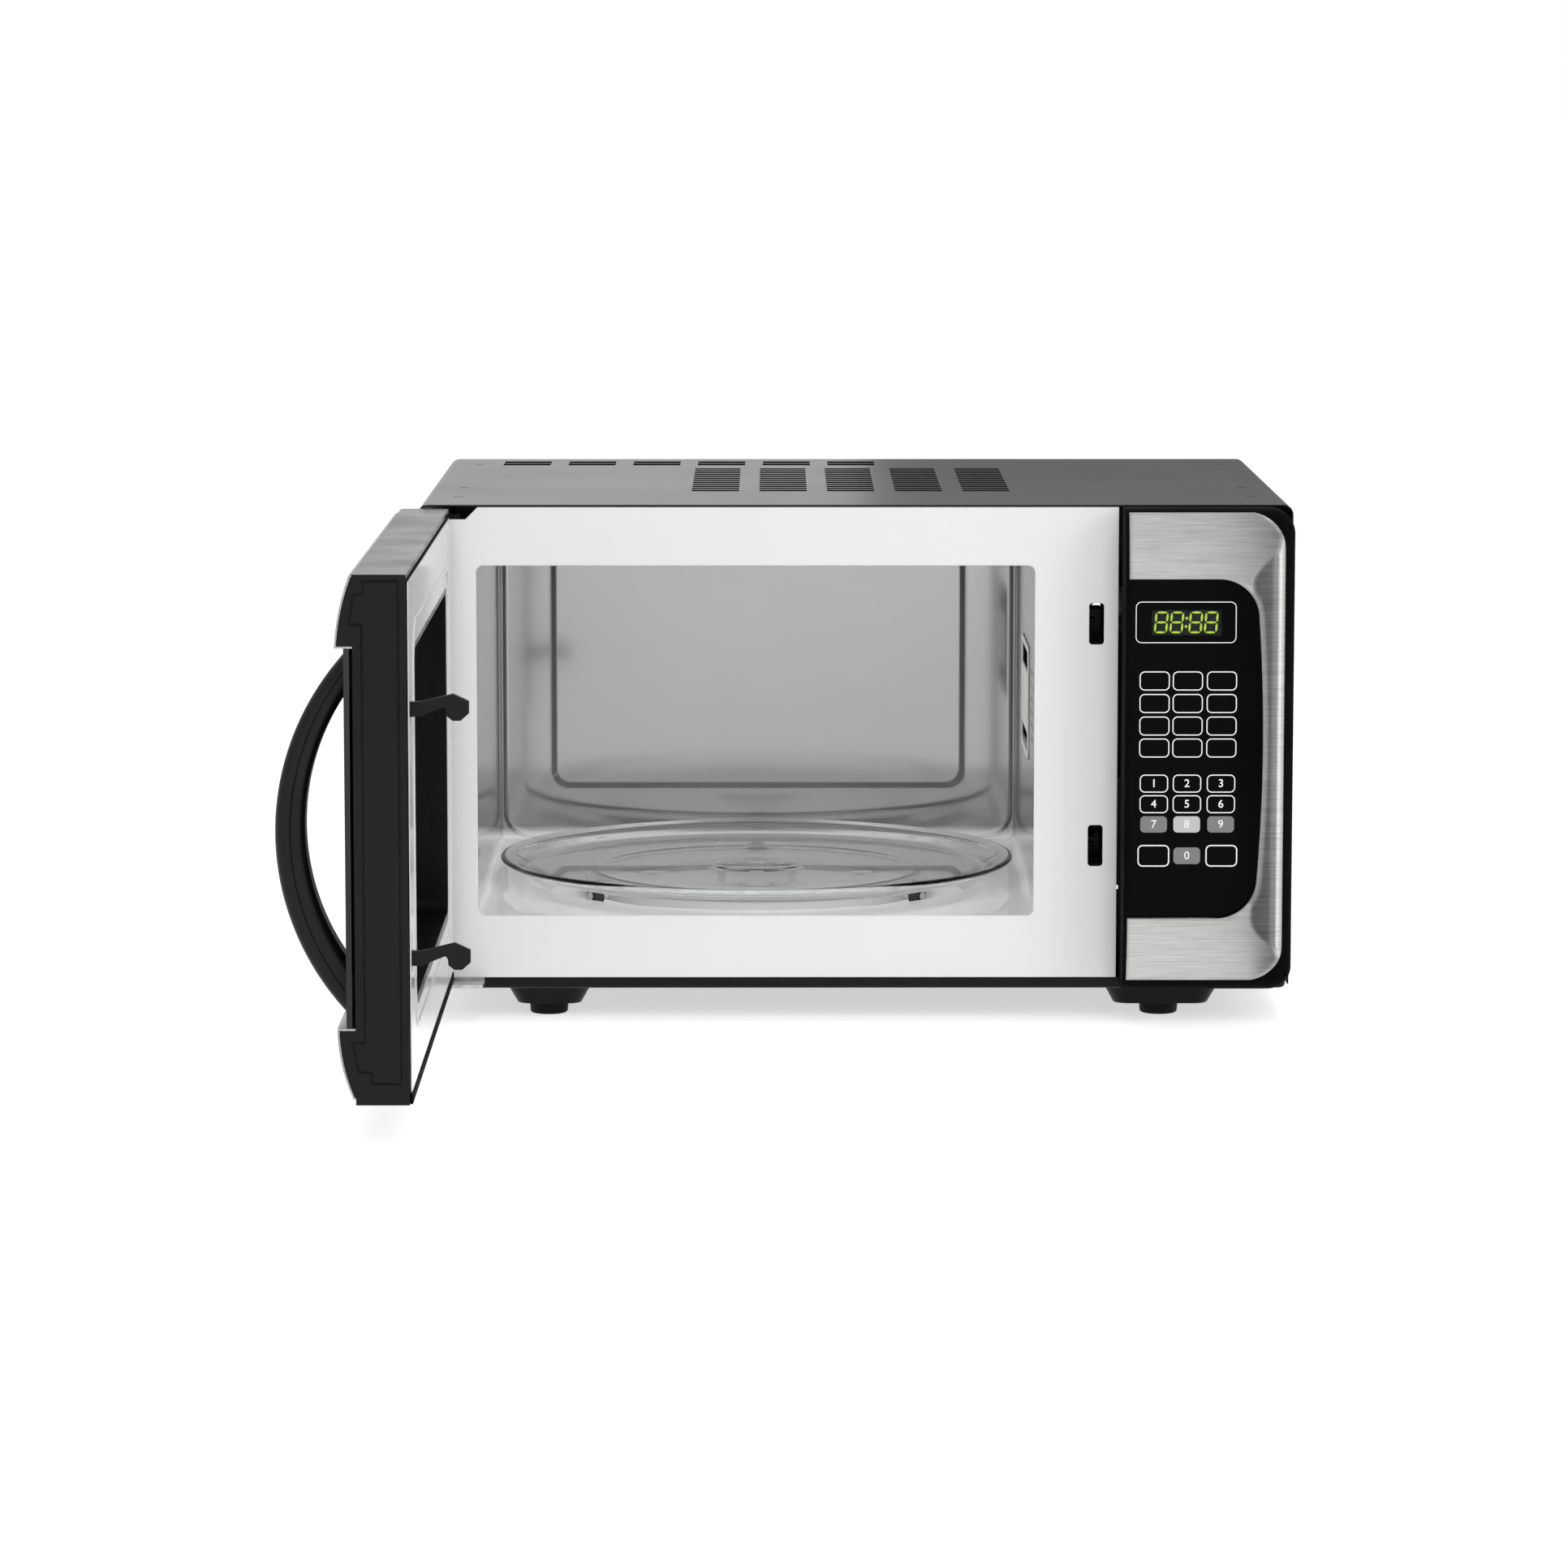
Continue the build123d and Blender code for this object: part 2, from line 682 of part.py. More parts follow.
def switch_body(name):
    y, z = switch_places()[name]
    case = block(135.6, 145.9, y, y + 15.0, z, z + 27.8)
    case = fillet(case.edges().filter_by(Axis.X), 1.0)
    for tab in (5.0, 14.0, 23.0):
        case += block(139.2, 142.2, y + 14.5, y + 21.0, z + tab - 0.4, z + tab + 0.4)
    for peg in (3.2, 24.8):
        case -= rod_x(130.0, 150.0, y + 11.0, z + peg, 1.55)
    return case


def make_switch(name):
    y, z = switch_places()[name]
    body = switch_body(name)
    if name == "monitor":
        return body
    bore = block(138.9, 142.1, y - 1, y + 4.0, z + 18.9, z + 22.1)
    return body - bore


def make_button(name):
    y, z = switch_places()[name]
    head = block(139.2, 141.8, 30.2, y + 2.2, z + 19.2, z + 21.8)
    return fillet(head.edges().group_by(Axis.Y)[0], 0.5)


def make_monitor_leaf():
    pivot_y, pivot_z = 35.4, 116.0
    strip = outline(
        (30.3, 107.8), (30.9, 107.6), (35.0, 114.6), (35.9, 114.6),
        (35.9, 117.4), (34.9, 117.4), (34.4, 115.0),
    )
    return sideways(strip, 138.4, 142.6) - rod_x(138.0, 143.0, pivot_y, pivot_z, 0.3)


# Turntable


def make_turntable_motor():
    motor = rod_z(31.0, 49.5, table_x, table_y, 24.8)
    motor = fillet(motor.edges().group_by(Axis.Z)[0], 1.5)
    motor += block(table_x - 34, table_x + 34, table_y - 6, table_y + 6, 48.6, 49.6)
    motor += block(table_x - 8, table_x + 8, table_y - 34, table_y - 20, 34.0, 46.0)
    for side in (-1, 1):
        motor += rod_z(48.6, 52.6, table_x + side * 30, table_y, 3.4)
    return motor - rod_z(36.0, 60.0, table_x, table_y, 3.4 + running_gap)


def make_turntable_shaft():
    return rod_z(37.0, 58.0, table_x, table_y, 3.4)


def make_drive_coupler():
    hub = rod_z(55.0, 62.0, table_x, table_y, 11.0)
    hub += rod_z(54.0, 56.0, table_x, table_y, 8.0)
    for angle in roller_angles:
        lobe = upright(rect(0, 25.0, -4.5, 4.5), 58.0, 66.2)
        hub += Pos(table_x, table_y, 0) * Rot(0, 0, angle) * lobe
    hub += rod_z(60.0, 66.2, table_x, table_y, 11.0)
    return hub - rod_z(50.0, 58.0, table_x, table_y, 3.4)


def make_roller_ring():
    ring = rod_z(57.4, 63.0, table_x, table_y, 105.5) - rod_z(57.0, 64.0, table_x, table_y, 101.5)
    spread = 104.0
    for angle in roller_angles:
        place = Pos(table_x, table_y, 0) * Rot(0, 0, angle)
        ring += place * rod_x(spread, roller_circle + 3.6, 0, roller_z, roller_axle)
        ring += place * rod_x(roller_circle + 3.4, roller_circle + 4.6, 0, roller_z, 2.4)
        ring += place * rod_x(spread, roller_circle - 3.4, 0, roller_z, 2.6)
    return ring


def make_roller(angle):
    half = roller_width / 2
    wheel = rod_x(roller_circle - half, roller_circle + half, 0, roller_z, roller_radius)
    wheel = fillet(wheel.edges(), 0.8)
    wheel -= rod_x(roller_circle - 10, roller_circle + 10, 0, roller_z, roller_axle + running_gap)
    return Pos(table_x, table_y, 0) * Rot(0, 0, angle) * wheel


def make_glass_tray():
    top = tray_under + tray_glass
    section = make_face(
        Line((0, tray_under), (130, tray_under))
        + Spline((130, tray_under), (142, 68.4), (156.4, 75.0), tangents=((1, 0), (0.8, 0.6)))
        + ThreePointArc((156.4, 75.0), (tray_radius, 77.4), (155.6, tray_rim))
        + Spline((155.6, tray_rim), (142, 72.9), (128, top), tangents=((-0.9, -0.4), (-1, 0)))
        + Line((128, top), (0, top))
        + Line((0, top), (0, tray_under))
    )
    tray = Pos(table_x, table_y, 0) * revolve(Plane.XZ * section, Axis.Z, 360)
    # Three lugs that sit between the coupler lobes
    for angle in roller_angles:
        lug = upright(rect(15.0, 22.0, -5.5, 5.5, 2.0), 63.6, tray_under + 0.5)
        tray += Pos(table_x, table_y, 0) * Rot(0, 0, angle + 60) * lug
    return tray


# Trim, control panel and keypad


def trim_profile(inset):
    front = trim_crest + inset
    back = door_body + 2 * inset
    top = trim_top - inset
    low = trim_bottom + inset
    brow = trim_brow + inset
    chin = trim_chin + inset / 2
    edge = Line((back, low), (back, top))
    edge += Line((back, top), (brow, top))
    edge += ThreePointArc((brow, top), (trim_upper[0] + inset, trim_upper[1] - inset / 2), (front, crest_top))
    edge += Line((front, crest_top), (front, crest_bottom))
    lower = (trim_lower[0] + inset, trim_lower[1] + inset / 2)
    edge += ThreePointArc((front, crest_bottom), lower, (chin, low))
    edge += Line((chin, low), (back, low))
    return make_face(edge)


def trim_cap(straight, rounded, inset):
    # The trim as a solid pillow: straight at one end, rolled over at the other.
    side = 1 if rounded > straight else -1
    end = rounded - side * inset
    near = min(straight, end)
    far = max(straight, end)
    back = door_body + 2 * inset
    cap = sideways(trim_profile(inset), near, far)
    # The corner arcs run out just past the top and bottom, so they meet them at a clear angle
    outer = rect(near, far, trim_bottom + inset - corner_lap, trim_top - inset + corner_lap)
    chosen = outer.vertices().sort_by(Axis.X)
    chosen = chosen[-2:] if side > 0 else chosen[:2]
    cap &= facing(fillet(chosen, trim_corner - inset), trim_crest - 1, back)
    # Shaved in plan: a long gentle curve, then a tight roll over the edge
    front = trim_crest + inset
    turn = (end - side * trim_roll, front + trim_sweep)
    start = (end - side * trim_curve, front - 0.5)
    soft = (end - side * (trim_curve + trim_roll) / 2, front + trim_sweep * 0.3)
    tight = (end - side * trim_roll * 0.25, front + trim_sweep + trim_roll * 0.3)
    last = (end, front + trim_sweep + trim_roll * 0.75)
    shaving = make_face(
        ThreePointArc(start, soft, turn)
        + ThreePointArc(turn, tight, last)
        + Polyline(last, (end + side, last[1]), (end + side, front - 2.0), (start[0], front - 2.0), start)
    )
    return cap - upright(shaving, trim_bottom - 5, trim_top + 5)


def inset_outline(straight, bulge, grow):
    # The dark inset: square at its straight side, bowed and round-cornered at the other.
    side = 1 if bulge > straight else -1
    far = bulge + side * grow
    shoulder = far - side * 3.0
    turn = far - side * 26.0
    top = inset_top + grow
    low = inset_bottom - grow
    edge = Line((straight, low), (turn, low))
    edge += ThreePointArc((turn, low), (shoulder - side * 7.0, low + 7.0), (shoulder, low + 23.0))
    edge += ThreePointArc((shoulder, low + 23.0), (far, (top + low) / 2), (shoulder, top - 20.0))
    edge += ThreePointArc((shoulder, top - 20.0), (shoulder - side * 7.0, top - 6.4), (turn, top))
    edge += Line((turn, top), (straight, top))
    edge += Line((straight, top), (straight, low))
    return make_face(edge)


def make_trim(straight, rounded, bulge):
    side = 1 if rounded > straight else -1
    past = straight - side * 5.0
    cap = trim_cap(straight, rounded, 0)
    hollow = trim_cap(past, rounded, trim_skin)
    hollow -= facing(inset_outline(past, bulge, trim_skin), -60, 0)
    cap -= hollow
    return cap - facing(inset_outline(past, bulge, 0), -60, 0)


def make_control_housing():
    box = block(housing_left, housing_right, door_body, housing_back, housing_bottom, housing_top)
    right_edge = box.edges().filter_by(Axis.Z).group_by(Axis.X)[-1].sort_by(Axis.Y)[0]
    box = fillet(right_edge, 9.0)
    corners = box.edges().filter_by(Axis.Y).group_by(Axis.X)[-1]
    box = fillet(corners, 14.0)
    hollow = block(
        housing_left + housing_wall, housing_right - 3.0, door_body + 2.5, housing_back + 1,
        housing_bottom + 9.0, housing_top - 9.0,
    )
    box -= hollow
    # Side wall with the section of the trim, and the platform under the keypad
    box += sideways(trim_profile(0.4), housing_left, panel_trim_left - 0.1)
    seat = inset_outline(panel_trim_left - 0.5, panel_bulge, -2.0)
    box += facing(seat, door_face + keypad_thick, door_body + 1)
    x, z = display_centre
    wide, high = display_size
    box -= facing(rect(x - wide / 2 - 1, x + wide / 2 + 1, z - high / 2 - 1, z + high / 2 + 1), -60, -20)
    # Screw bosses for the board
    for boss_x, boss_z in board_bosses():
        box += rod_y(-29.0, -20.2, boss_x, boss_z, 4.0)
    return box


def board_bosses():
    return ((170.0, 280.0), (240.0, 280.0), (170.0, 52.0), (240.0, 52.0))


def make_control_trim():
    return make_trim(panel_trim_left, panel_trim_right, panel_bulge)


def key_fields():
    fields = []
    for z in function_rows:
        fields += [(x, z, function_key) for x in key_columns]
    for z in number_rows:
        fields += [(x, z, number_key) for x in key_columns]
    fields += [(key_columns[0], control_row, control_key), (key_columns[2] + 0.6, control_row, control_key)]
    fields.append((key_columns[1] + 0.2, control_row, (16.0, 10.2)))
    return fields


def make_keypad_overlay():
    film = facing(inset_outline(panel_trim_left, panel_bulge, -0.15), door_face, door_face + keypad_thick)
    for x, z, size in key_fields():
        pad = Pos(x, z) * RectangleRounded(size[0], size[1], 3.0)
        film += facing(pad, door_face - key_rise, door_face)
    x, z = display_centre
    wide, high = display_size
    return film - facing(rect(x - wide / 2, x + wide / 2, z - high / 2, z + high / 2, 1.0), -60, 0)


def make_display_window():
    x, z = display_centre
    wide = display_size[0] / 2 - 0.1
    high = display_size[1] / 2 - 0.1
    return facing(rect(x - wide, x + wide, z - high, z + high, 0.9), door_face + 0.2, door_face + 1.8)


def make_display_module():
    x, z = display_centre
    body = block(x - 21.0, x + 21.0, -32.4, -21.6, z - 8.2, z + 8.2)
    for side in (-1, 1):
        for pin in range(6):
            body += rod_y(-22.0, -20.05, x - 15.0 + pin * 6.0, z + side * 6.0, 0.5)
    return body


def make_control_board():
    board = block(162.0, 249.0, -20.0, -18.4, 44.0, 288.0)
    board += block(170.0, 196.0, -18.6, -3.0, 60.0, 90.0)
    board += block(206.0, 240.0, -18.6, 2.0, 58.0, 92.0)
    for x in (176.0, 200.0, 224.0):
        board += block(x - 8.0, x + 8.0, -18.6, -3.0, 112.0, 132.0)
    for z in (150.0, 168.0):
        board += rod_y(-18.6, -6.0, 176.0, z, 6.0)
    board += block(195.0, 225.0, -18.6, -14.0, 152.0, 162.0)
    return board + rod_y(-18.6, -10.0, 236.0, 190.0, 6.5)


# Door


def upper_notch(grow):
    return block(door_left - 5, hinge_x + 7.5 + grow, hinge_y - 7.5 - grow, 5.0, 299.4 - grow, 303.9)


def window_rect(inset):
    return rect(
        window_left + inset, window_right - inset,
        window_bottom + inset, window_top - inset, window_corner - inset,
    )


def seam_outline():
    # Stepped outline of the inner moulding, seen on the free edge of the door
    return outline(
        (-5.6, 303.6), (-24.6, 303.6), (-24.6, 296.8), (-29.6, 296.8), (-32.0, 280.0), (-25.5, 280.0),
        (-25.5, 62.3), (-32.0, 62.3), (-28.5, 45.6), (-22.0, 45.6), (-22.0, 39.8), (-5.6, 39.3),
    )


def make_door_frame():
    box = block(door_left, door_right, door_body, door_rear, door_bottom, door_top)
    hinge_edges = box.edges().filter_by(Axis.Z).group_by(Axis.X)[0]
    box = fillet(hinge_edges, door_corner)
    hollow = block(
        door_left + door_wall, door_right - door_wall, door_body + door_wall, door_rear + 1,
        door_bottom + door_wall, door_top - door_wall,
    )
    frame = box - hollow
    frame -= facing(window_rect(rebate), -60, 0)
    # Deep reveal round the window, with a rebate for the screen on its front side
    frame += facing(window_rect(0.2) - window_rect(reveal_wall), screen_face, door_rear + 0.4)
    frame += facing(window_rect(0.2) - window_rect(rebate), door_body, screen_face)
    # Bearing blocks for the hinge pins
    frame += block(door_left + 1, hinge_x + 9, door_body + 1, -5.6, door_bottom, 44.0)
    frame += block(door_left + 1, hinge_x + 9, door_body + 1, -5.6, 282.0, door_top - 1)
    frame -= upper_notch(0.4)
    frame -= rod_z(20.0, 42.0, hinge_x, hinge_y, pin_radius + running_gap)
    frame -= rod_z(286.0, 300.0, hinge_x, hinge_y, pin_radius + running_gap)
    # Guide ribs for the latch bar and the seat of its spring
    for z0, z1 in ((126.0, 150.0), (196.0, 220.0)):
        frame += block(bar_left - 2.6, bar_left - 0.4, door_body + 1, -9.0, z0, z1)
        frame += block(bar_right + 0.4, bar_right + 2.6, door_body + 1, -9.0, z0, z1)
    frame += block(bar_left - 1.0, bar_right + 1.0, door_body + 1, -6.0, spring_top(), spring_top() + 3.0)
    # End wall behind the trim at the free edge
    end = sideways(trim_profile(trim_skin + 0.1), door_right - door_wall, door_right)
    end -= facing(inset_outline(door_right + 5, door_bulge, trim_skin + 0.1), -60, 0)
    frame += end
    groove = seam_outline() - offset(seam_outline(), -seam_width)
    frame -= sideways(groove, door_right - seam_width, door_right + 1)
    # Pads that back the window and take the handle screws
    for z in handle_holes():
        pad = block(handle_x - 9, handle_x + 9, door_face + 3.1, door_body + 1, z - 9, z + 9)
        frame += pad
        frame -= rod_y(-60, 0, handle_x, z, 2.2)
    return frame


def spring_top():
    return 290.0


def bar_top():
    return 264.0


def handle_holes():
    return (handle_top - handle_foot / 2, handle_bottom + handle_foot / 2 + 2.0)


def make_door_trim():
    return make_trim(door_right, door_trim_left, door_bulge)


def make_door_window():
    pane = facing(inset_outline(door_right, door_bulge, -0.15), door_face, door_face + 3.0)
    for z in handle_holes():
        pane -= rod_y(-60, 0, handle_x, z, 2.2)
    return pane


def panel_slots(part, grow):
    for index in (0, 1):
        low = hook_low(index)
        part -= facing(rect(hook_x - 3.4 - grow, hook_x + 3.4 + grow, low - 1.5, low + 21.0, 1.5), -12.0, 0)
    return part


def make_door_panel():
    y0 = door_panel_face
    sheet_face = rect(-250.0, 149.8, 34.0, 302.0, 3.0) - window_rect(0)
    panel = facing(sheet_face, y0 - 0.8, y0)
    panel += facing(window_rect(-0.8) - window_rect(0), -8.0, y0 - 0.5)
    # Raised bead that runs round the window
    bead = window_rect(-bead_out) - window_rect(-bead_out + bead_width)
    panel += facing(bead, y0 - 0.2, y0 + bead_rise)
    # Choke fold round the back of the sheet
    fold_out = rect(-248.0, 133.0, 36.0, 300.0, 3.0)
    fold_in = rect(-247.2, 132.2, 36.8, 299.2, 3.0)
    panel += facing(fold_out - fold_in, -12.0, y0 - 0.5)
    panel -= upper_notch(0.4)
    panel -= block(-260.0, hinge_x + 10.0, -20.0, door_panel_face - 0.8, 20.0, 46.0)
    panel -= block(-260.0, hinge_x + 10.0, -20.0, door_panel_face - 0.8, 280.0, 310.0)
    return panel_slots(panel, 0)


def make_door_screen():
    return facing(window_rect(rebate + 0.1), screen_face - 0.6, screen_face - 0.05)


def make_inner_film():
    return facing(window_rect(reveal_wall + 0.1), screen_face, screen_face + 0.8)


def make_choke_cover():
    outer = rect(-253.2, 151.7, 31.3, 303.6, 2.0)
    inner = rect(-250.3, 150.1, 33.7, 302.3, 2.0)
    ring = facing(outer - inner, -6.0, -1.6)
    # Proud lip along the bottom, from the hinge axis to the free edge
    ring += facing(rect(hinge_x + 2.0, 151.7, 28.8, 33.6), -1.9, -0.5)
    ring -= upper_notch(0.4)
    ring -= block(-260.0, hinge_x + 9.4, -40.0, -5.2, 20.0, 44.4)
    return ring - block(-260.0, hinge_x + 9.4, -40.0, -5.2, 281.6, 310.0)


def make_door_handle():
    middle = (handle_top + handle_bottom) / 2
    bow = make_face(
        ThreePointArc((door_face, handle_top), (handle_reach, middle), (door_face, handle_bottom))
        + Line((door_face, handle_bottom), (door_face, handle_bottom + 29.0))
        + ThreePointArc(
            (door_face, handle_bottom + 29.0), (handle_inside, middle), (door_face, handle_top - handle_foot)
        )
        + Line((door_face, handle_top - handle_foot), (door_face, handle_top))
    )
    half = handle_width / 2
    handle = sideways(bow, handle_x - half, handle_x + half)
    long_edges = [edge for edge in handle.edges() if edge.geom_type == GeomType.CIRCLE]
    handle = fillet(long_edges, handle_round)
    # Seam between the two mouldings, a groove along both flanks
    middle_reach = (handle_reach + handle_inside) / 2
    seam_top = handle_top - 9.0
    seam_low = handle_bottom + 11.0
    seam = make_face(
        ThreePointArc((door_face, seam_top), (middle_reach, middle), (door_face, seam_low))
        + Line((door_face, seam_low), (door_face, seam_low + handle_seam))
        + ThreePointArc(
            (door_face, seam_low + handle_seam), (middle_reach + handle_seam, middle),
            (door_face, seam_top - handle_seam),
        )
        + Line((door_face, seam_top - handle_seam), (door_face, seam_top))
    )
    handle -= sideways(seam, handle_x - half - 1.0, handle_x - half + handle_seam)
    handle -= sideways(seam, handle_x + half - handle_seam, handle_x + half + 1.0)
    for z in handle_holes():
        handle -= rod_y(door_face - 7.0, 0, handle_x, z, 1.6)
    return handle


def make_handle_screws():
    screws = []
    for z in handle_holes():
        shank = rod_y(door_face - 6.0, door_body + door_wall + 1.0, handle_x, z, 1.6)
        head = rod_y(door_body + door_wall, door_body + door_wall + 2.4, handle_x, z, 3.8)
        screws.append(shank + head)
    return screws


def make_latch_bar():
    bar = block(bar_left, bar_right, -18.0, -10.0, 84.0, bar_top())
    bar -= block(bar_left + 2.0, bar_right - 2.0, -19.0, -15.0, 150.0, 200.0)
    for index in (0, 1):
        low = hook_low(index)
        hook = outline(
            (-11.0, low + 1.9), (-11.0, low + 9.4), (4.5, low + 9.9), (21.4, low + 13.9),
            (29.5, low + 10.1), (29.5, low + 3.8), (25.2, low), (21.0, low), (18.0, low + 2.4),
            (17.6, low + 5.8), (16.4, low + 7.2), (9.3, low + 4.4), (4.5, low + 2.1),
        )
        bar += sideways(hook, hook_x - hook_width / 2, hook_x + hook_width / 2)
    spigot = rod_z(bar_top() - 1.0, bar_top() + 6.0, spring_x(), -14.0, 2.2)
    return bar + spigot


def spring_x():
    return (bar_left + bar_right) / 2


def make_latch_spring():
    low = bar_top() + spring_wire + 0.05
    high = spring_top() - spring_wire - 0.05
    pitch = (high - low) / spring_turns
    print("latch spring gap between turns", round(pitch - 2 * spring_wire, 2))
    path = Helix(pitch=pitch, height=high - low, radius=spring_radius)
    start = Plane(origin=path @ 0, z_dir=path % 0)
    coil = sweep(start * Circle(spring_wire), path)
    return Pos(spring_x(), -14.0, low) * coil


fixed_parts = {
    "outer_cabinet": make_outer_cabinet,
    "base_plate": make_base_plate,
    "rear_panel": make_rear_panel,
    "front_plate": make_front_plate,
    "oven_cavity": make_oven_cavity,
    "waveguide_cover": make_waveguide_cover,
    "waveguide": make_waveguide,
    "magnetron": make_magnetron,
    "magnetron_cutout": make_magnetron_cutout,
    "cavity_cutout": make_cavity_cutout,
    "transformer_core": make_transformer_core,
    "transformer_coils": make_transformer_coils,
    "capacitor": make_capacitor,
    "capacitor_strap": make_capacitor_strap,
    "diode": make_diode,
    "fan_shroud": make_fan_shroud,
    "fan_motor": make_fan_motor,
    "fan_blade": make_fan_blade,
    "air_duct": make_air_duct,
    "lamp_holder": make_lamp_holder,
    "oven_lamp": make_oven_lamp,
    "filter_board": make_filter_board,
    "cord_gland": make_cord_gland,
    "cabinet_screws": make_cabinet_screws,
    "feet": make_feet,
    "upper_hinge": make_upper_hinge,
    "lower_hinge": make_lower_hinge,
    "latch_board": make_latch_board,
    "primary_switch": lambda: make_switch("primary"),
    "secondary_switch": lambda: make_switch("secondary"),
    "monitor_switch": lambda: make_switch("monitor"),
    "primary_button": lambda: make_button("primary"),
    "secondary_button": lambda: make_button("secondary"),
    "monitor_leaf": make_monitor_leaf,
    "turntable_motor": make_turntable_motor,
    "turntable_shaft": make_turntable_shaft,
    "drive_coupler": make_drive_coupler,
    "roller_ring": make_roller_ring,
    "roller_rear": lambda: make_roller(roller_angles[0]),
    "roller_left": lambda: make_roller(roller_angles[1]),
    "roller_right": lambda: make_roller(roller_angles[2]),
    "glass_tray": make_glass_tray,
    "control_housing": make_control_housing,
    "control_trim": make_control_trim,
    "keypad_overlay": make_keypad_overlay,
    "display_window": make_display_window,
    "display_module": make_display_module,
    "control_board": make_control_board,
}

door_parts = {
    "door_frame": make_door_frame,
    "door_trim": make_door_trim,
    "door_window": make_door_window,
    "door_panel": make_door_panel,
    "door_screen": make_door_screen,
    "inner_film": make_inner_film,
    "choke_cover": make_choke_cover,
    "door_handle": make_door_handle,
    "handle_screws": make_handle_screws,
    "latch_bar": make_latch_bar,
    "latch_spring": make_latch_spring,
}


def solids_of(shape):
    if isinstance(shape, (list, tuple)):
        return [solid for item in shape for solid in solids_of(item)]
    return list(shape.solids())


def write_node(name, shape, is_door):
    centre = Pos(offset_x, offset_y, 0)
    solids = solids_of(shape)
    if is_door:
        solids = [swing_open(solid) for solid in solids]
    solids = [centre * solid for solid in solids]
    whole = solids[0] if len(solids) == 1 else Compound(children=solids)
    export_step(whole, os.path.join("parts", name + ".step"))
    print(name, len(solids))


os.makedirs("parts", exist_ok=True)
for node, maker in fixed_parts.items():
    write_node(node, maker(), False)
for node, maker in door_parts.items():
    write_node(node, maker(), True)
print("offset", round(offset_x, 3), round(offset_y, 3))
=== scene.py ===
import math

import bmesh
import bpy
from mathutils import Matrix, Vector


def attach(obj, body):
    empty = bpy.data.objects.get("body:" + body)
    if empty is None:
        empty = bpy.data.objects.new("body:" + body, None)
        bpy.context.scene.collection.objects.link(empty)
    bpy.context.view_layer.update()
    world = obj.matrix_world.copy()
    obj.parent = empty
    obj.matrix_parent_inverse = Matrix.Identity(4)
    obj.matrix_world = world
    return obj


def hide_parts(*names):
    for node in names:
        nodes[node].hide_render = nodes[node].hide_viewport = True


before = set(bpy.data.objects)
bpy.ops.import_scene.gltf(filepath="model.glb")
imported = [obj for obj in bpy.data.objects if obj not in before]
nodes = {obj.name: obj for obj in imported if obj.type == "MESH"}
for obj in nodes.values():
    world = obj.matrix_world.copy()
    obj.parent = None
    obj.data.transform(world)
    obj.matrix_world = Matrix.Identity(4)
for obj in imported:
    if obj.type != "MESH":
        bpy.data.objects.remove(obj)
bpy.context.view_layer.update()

scene = bpy.context.scene
scene.view_settings.view_transform = "Standard"
mm = 0.001
drawingShift = Vector((25.75, 28.0, 0.0))  # the drawing's origin to the frame's, in mm
hingeLine = Vector((-248.6, -13.0, 0.0))
print("frame loaded:", len(nodes), "nodes")


# small tools

def toLinear(hexColour):
    parts = [int(hexColour[i:i + 2], 16) / 255 for i in (1, 3, 5)]
    return tuple(p / 12.92 if p <= 0.04045 else ((p + 0.055) / 1.055) ** 2.4 for p in parts) + (1.0,)


def perMm(size):  # texture scale for a feature of that many millimetres
    return 1.0 / (size * mm)


def addNode(tree, kind, values=None, wires=None, **settings):
    node = tree.nodes.new(kind)
    for key, value in settings.items():
        setattr(node, key, value)
    for key, value in (values or {}).items():
        node.inputs[key].default_value = value
    for key, socket in (wires or {}).items():
        tree.links.new(socket, node.inputs[key])
    return node


def whiteRays(tree):  # 1 for camera, gloss and glass rays, which all see the white ground
    seen = addNode(tree, "ShaderNodeLightPath")
    direct = addNode(tree, "ShaderNodeMath", operation="MAXIMUM",
                     wires={0: seen.outputs["Is Camera Ray"], 1: seen.outputs["Is Transmission Ray"]})
    shown = addNode(tree, "ShaderNodeMath", operation="MAXIMUM",
                    wires={0: direct.outputs["Value"], 1: seen.outputs["Is Glossy Ray"]})
    return shown.outputs["Value"]


def startMaterial(name, **values):
    material = bpy.data.materials.new(name)
    material.use_nodes = True
    shader = material.node_tree.nodes["Principled BSDF"]
    for key, value in values.items():
        shader.inputs[key.replace("_", " ")].default_value = value
    return material, material.node_tree, shader


def atDrawing(bm, isDoor=False):  # drawing millimetres to the frame's metres, the door swung open
    if isDoor:
        bmesh.ops.rotate(bm, verts=bm.verts, cent=hingeLine, matrix=Matrix.Rotation(math.radians(-90), 3, "Z"))
    bmesh.ops.translate(bm, verts=bm.verts, vec=drawingShift)
    bmesh.ops.scale(bm, verts=bm.verts, vec=(mm, mm, mm))


def finishPiece(bm, name, material, body, replaced=(), sharp=35, recalc=True):
    if recalc:
        bmesh.ops.recalc_face_normals(bm, faces=bm.faces)
    mesh = bpy.data.meshes.new(name)
    bm.to_mesh(mesh)
    bm.free()
    mesh.shade_smooth()
    mesh.set_sharp_from_angle(angle=math.radians(sharp))
    mesh.materials.append(material)
    piece = bpy.data.objects.new(name, mesh)
    scene.collection.objects.link(piece)
    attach(piece, body)
    if replaced:
        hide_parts(*replaced)
    return piece


# finishes

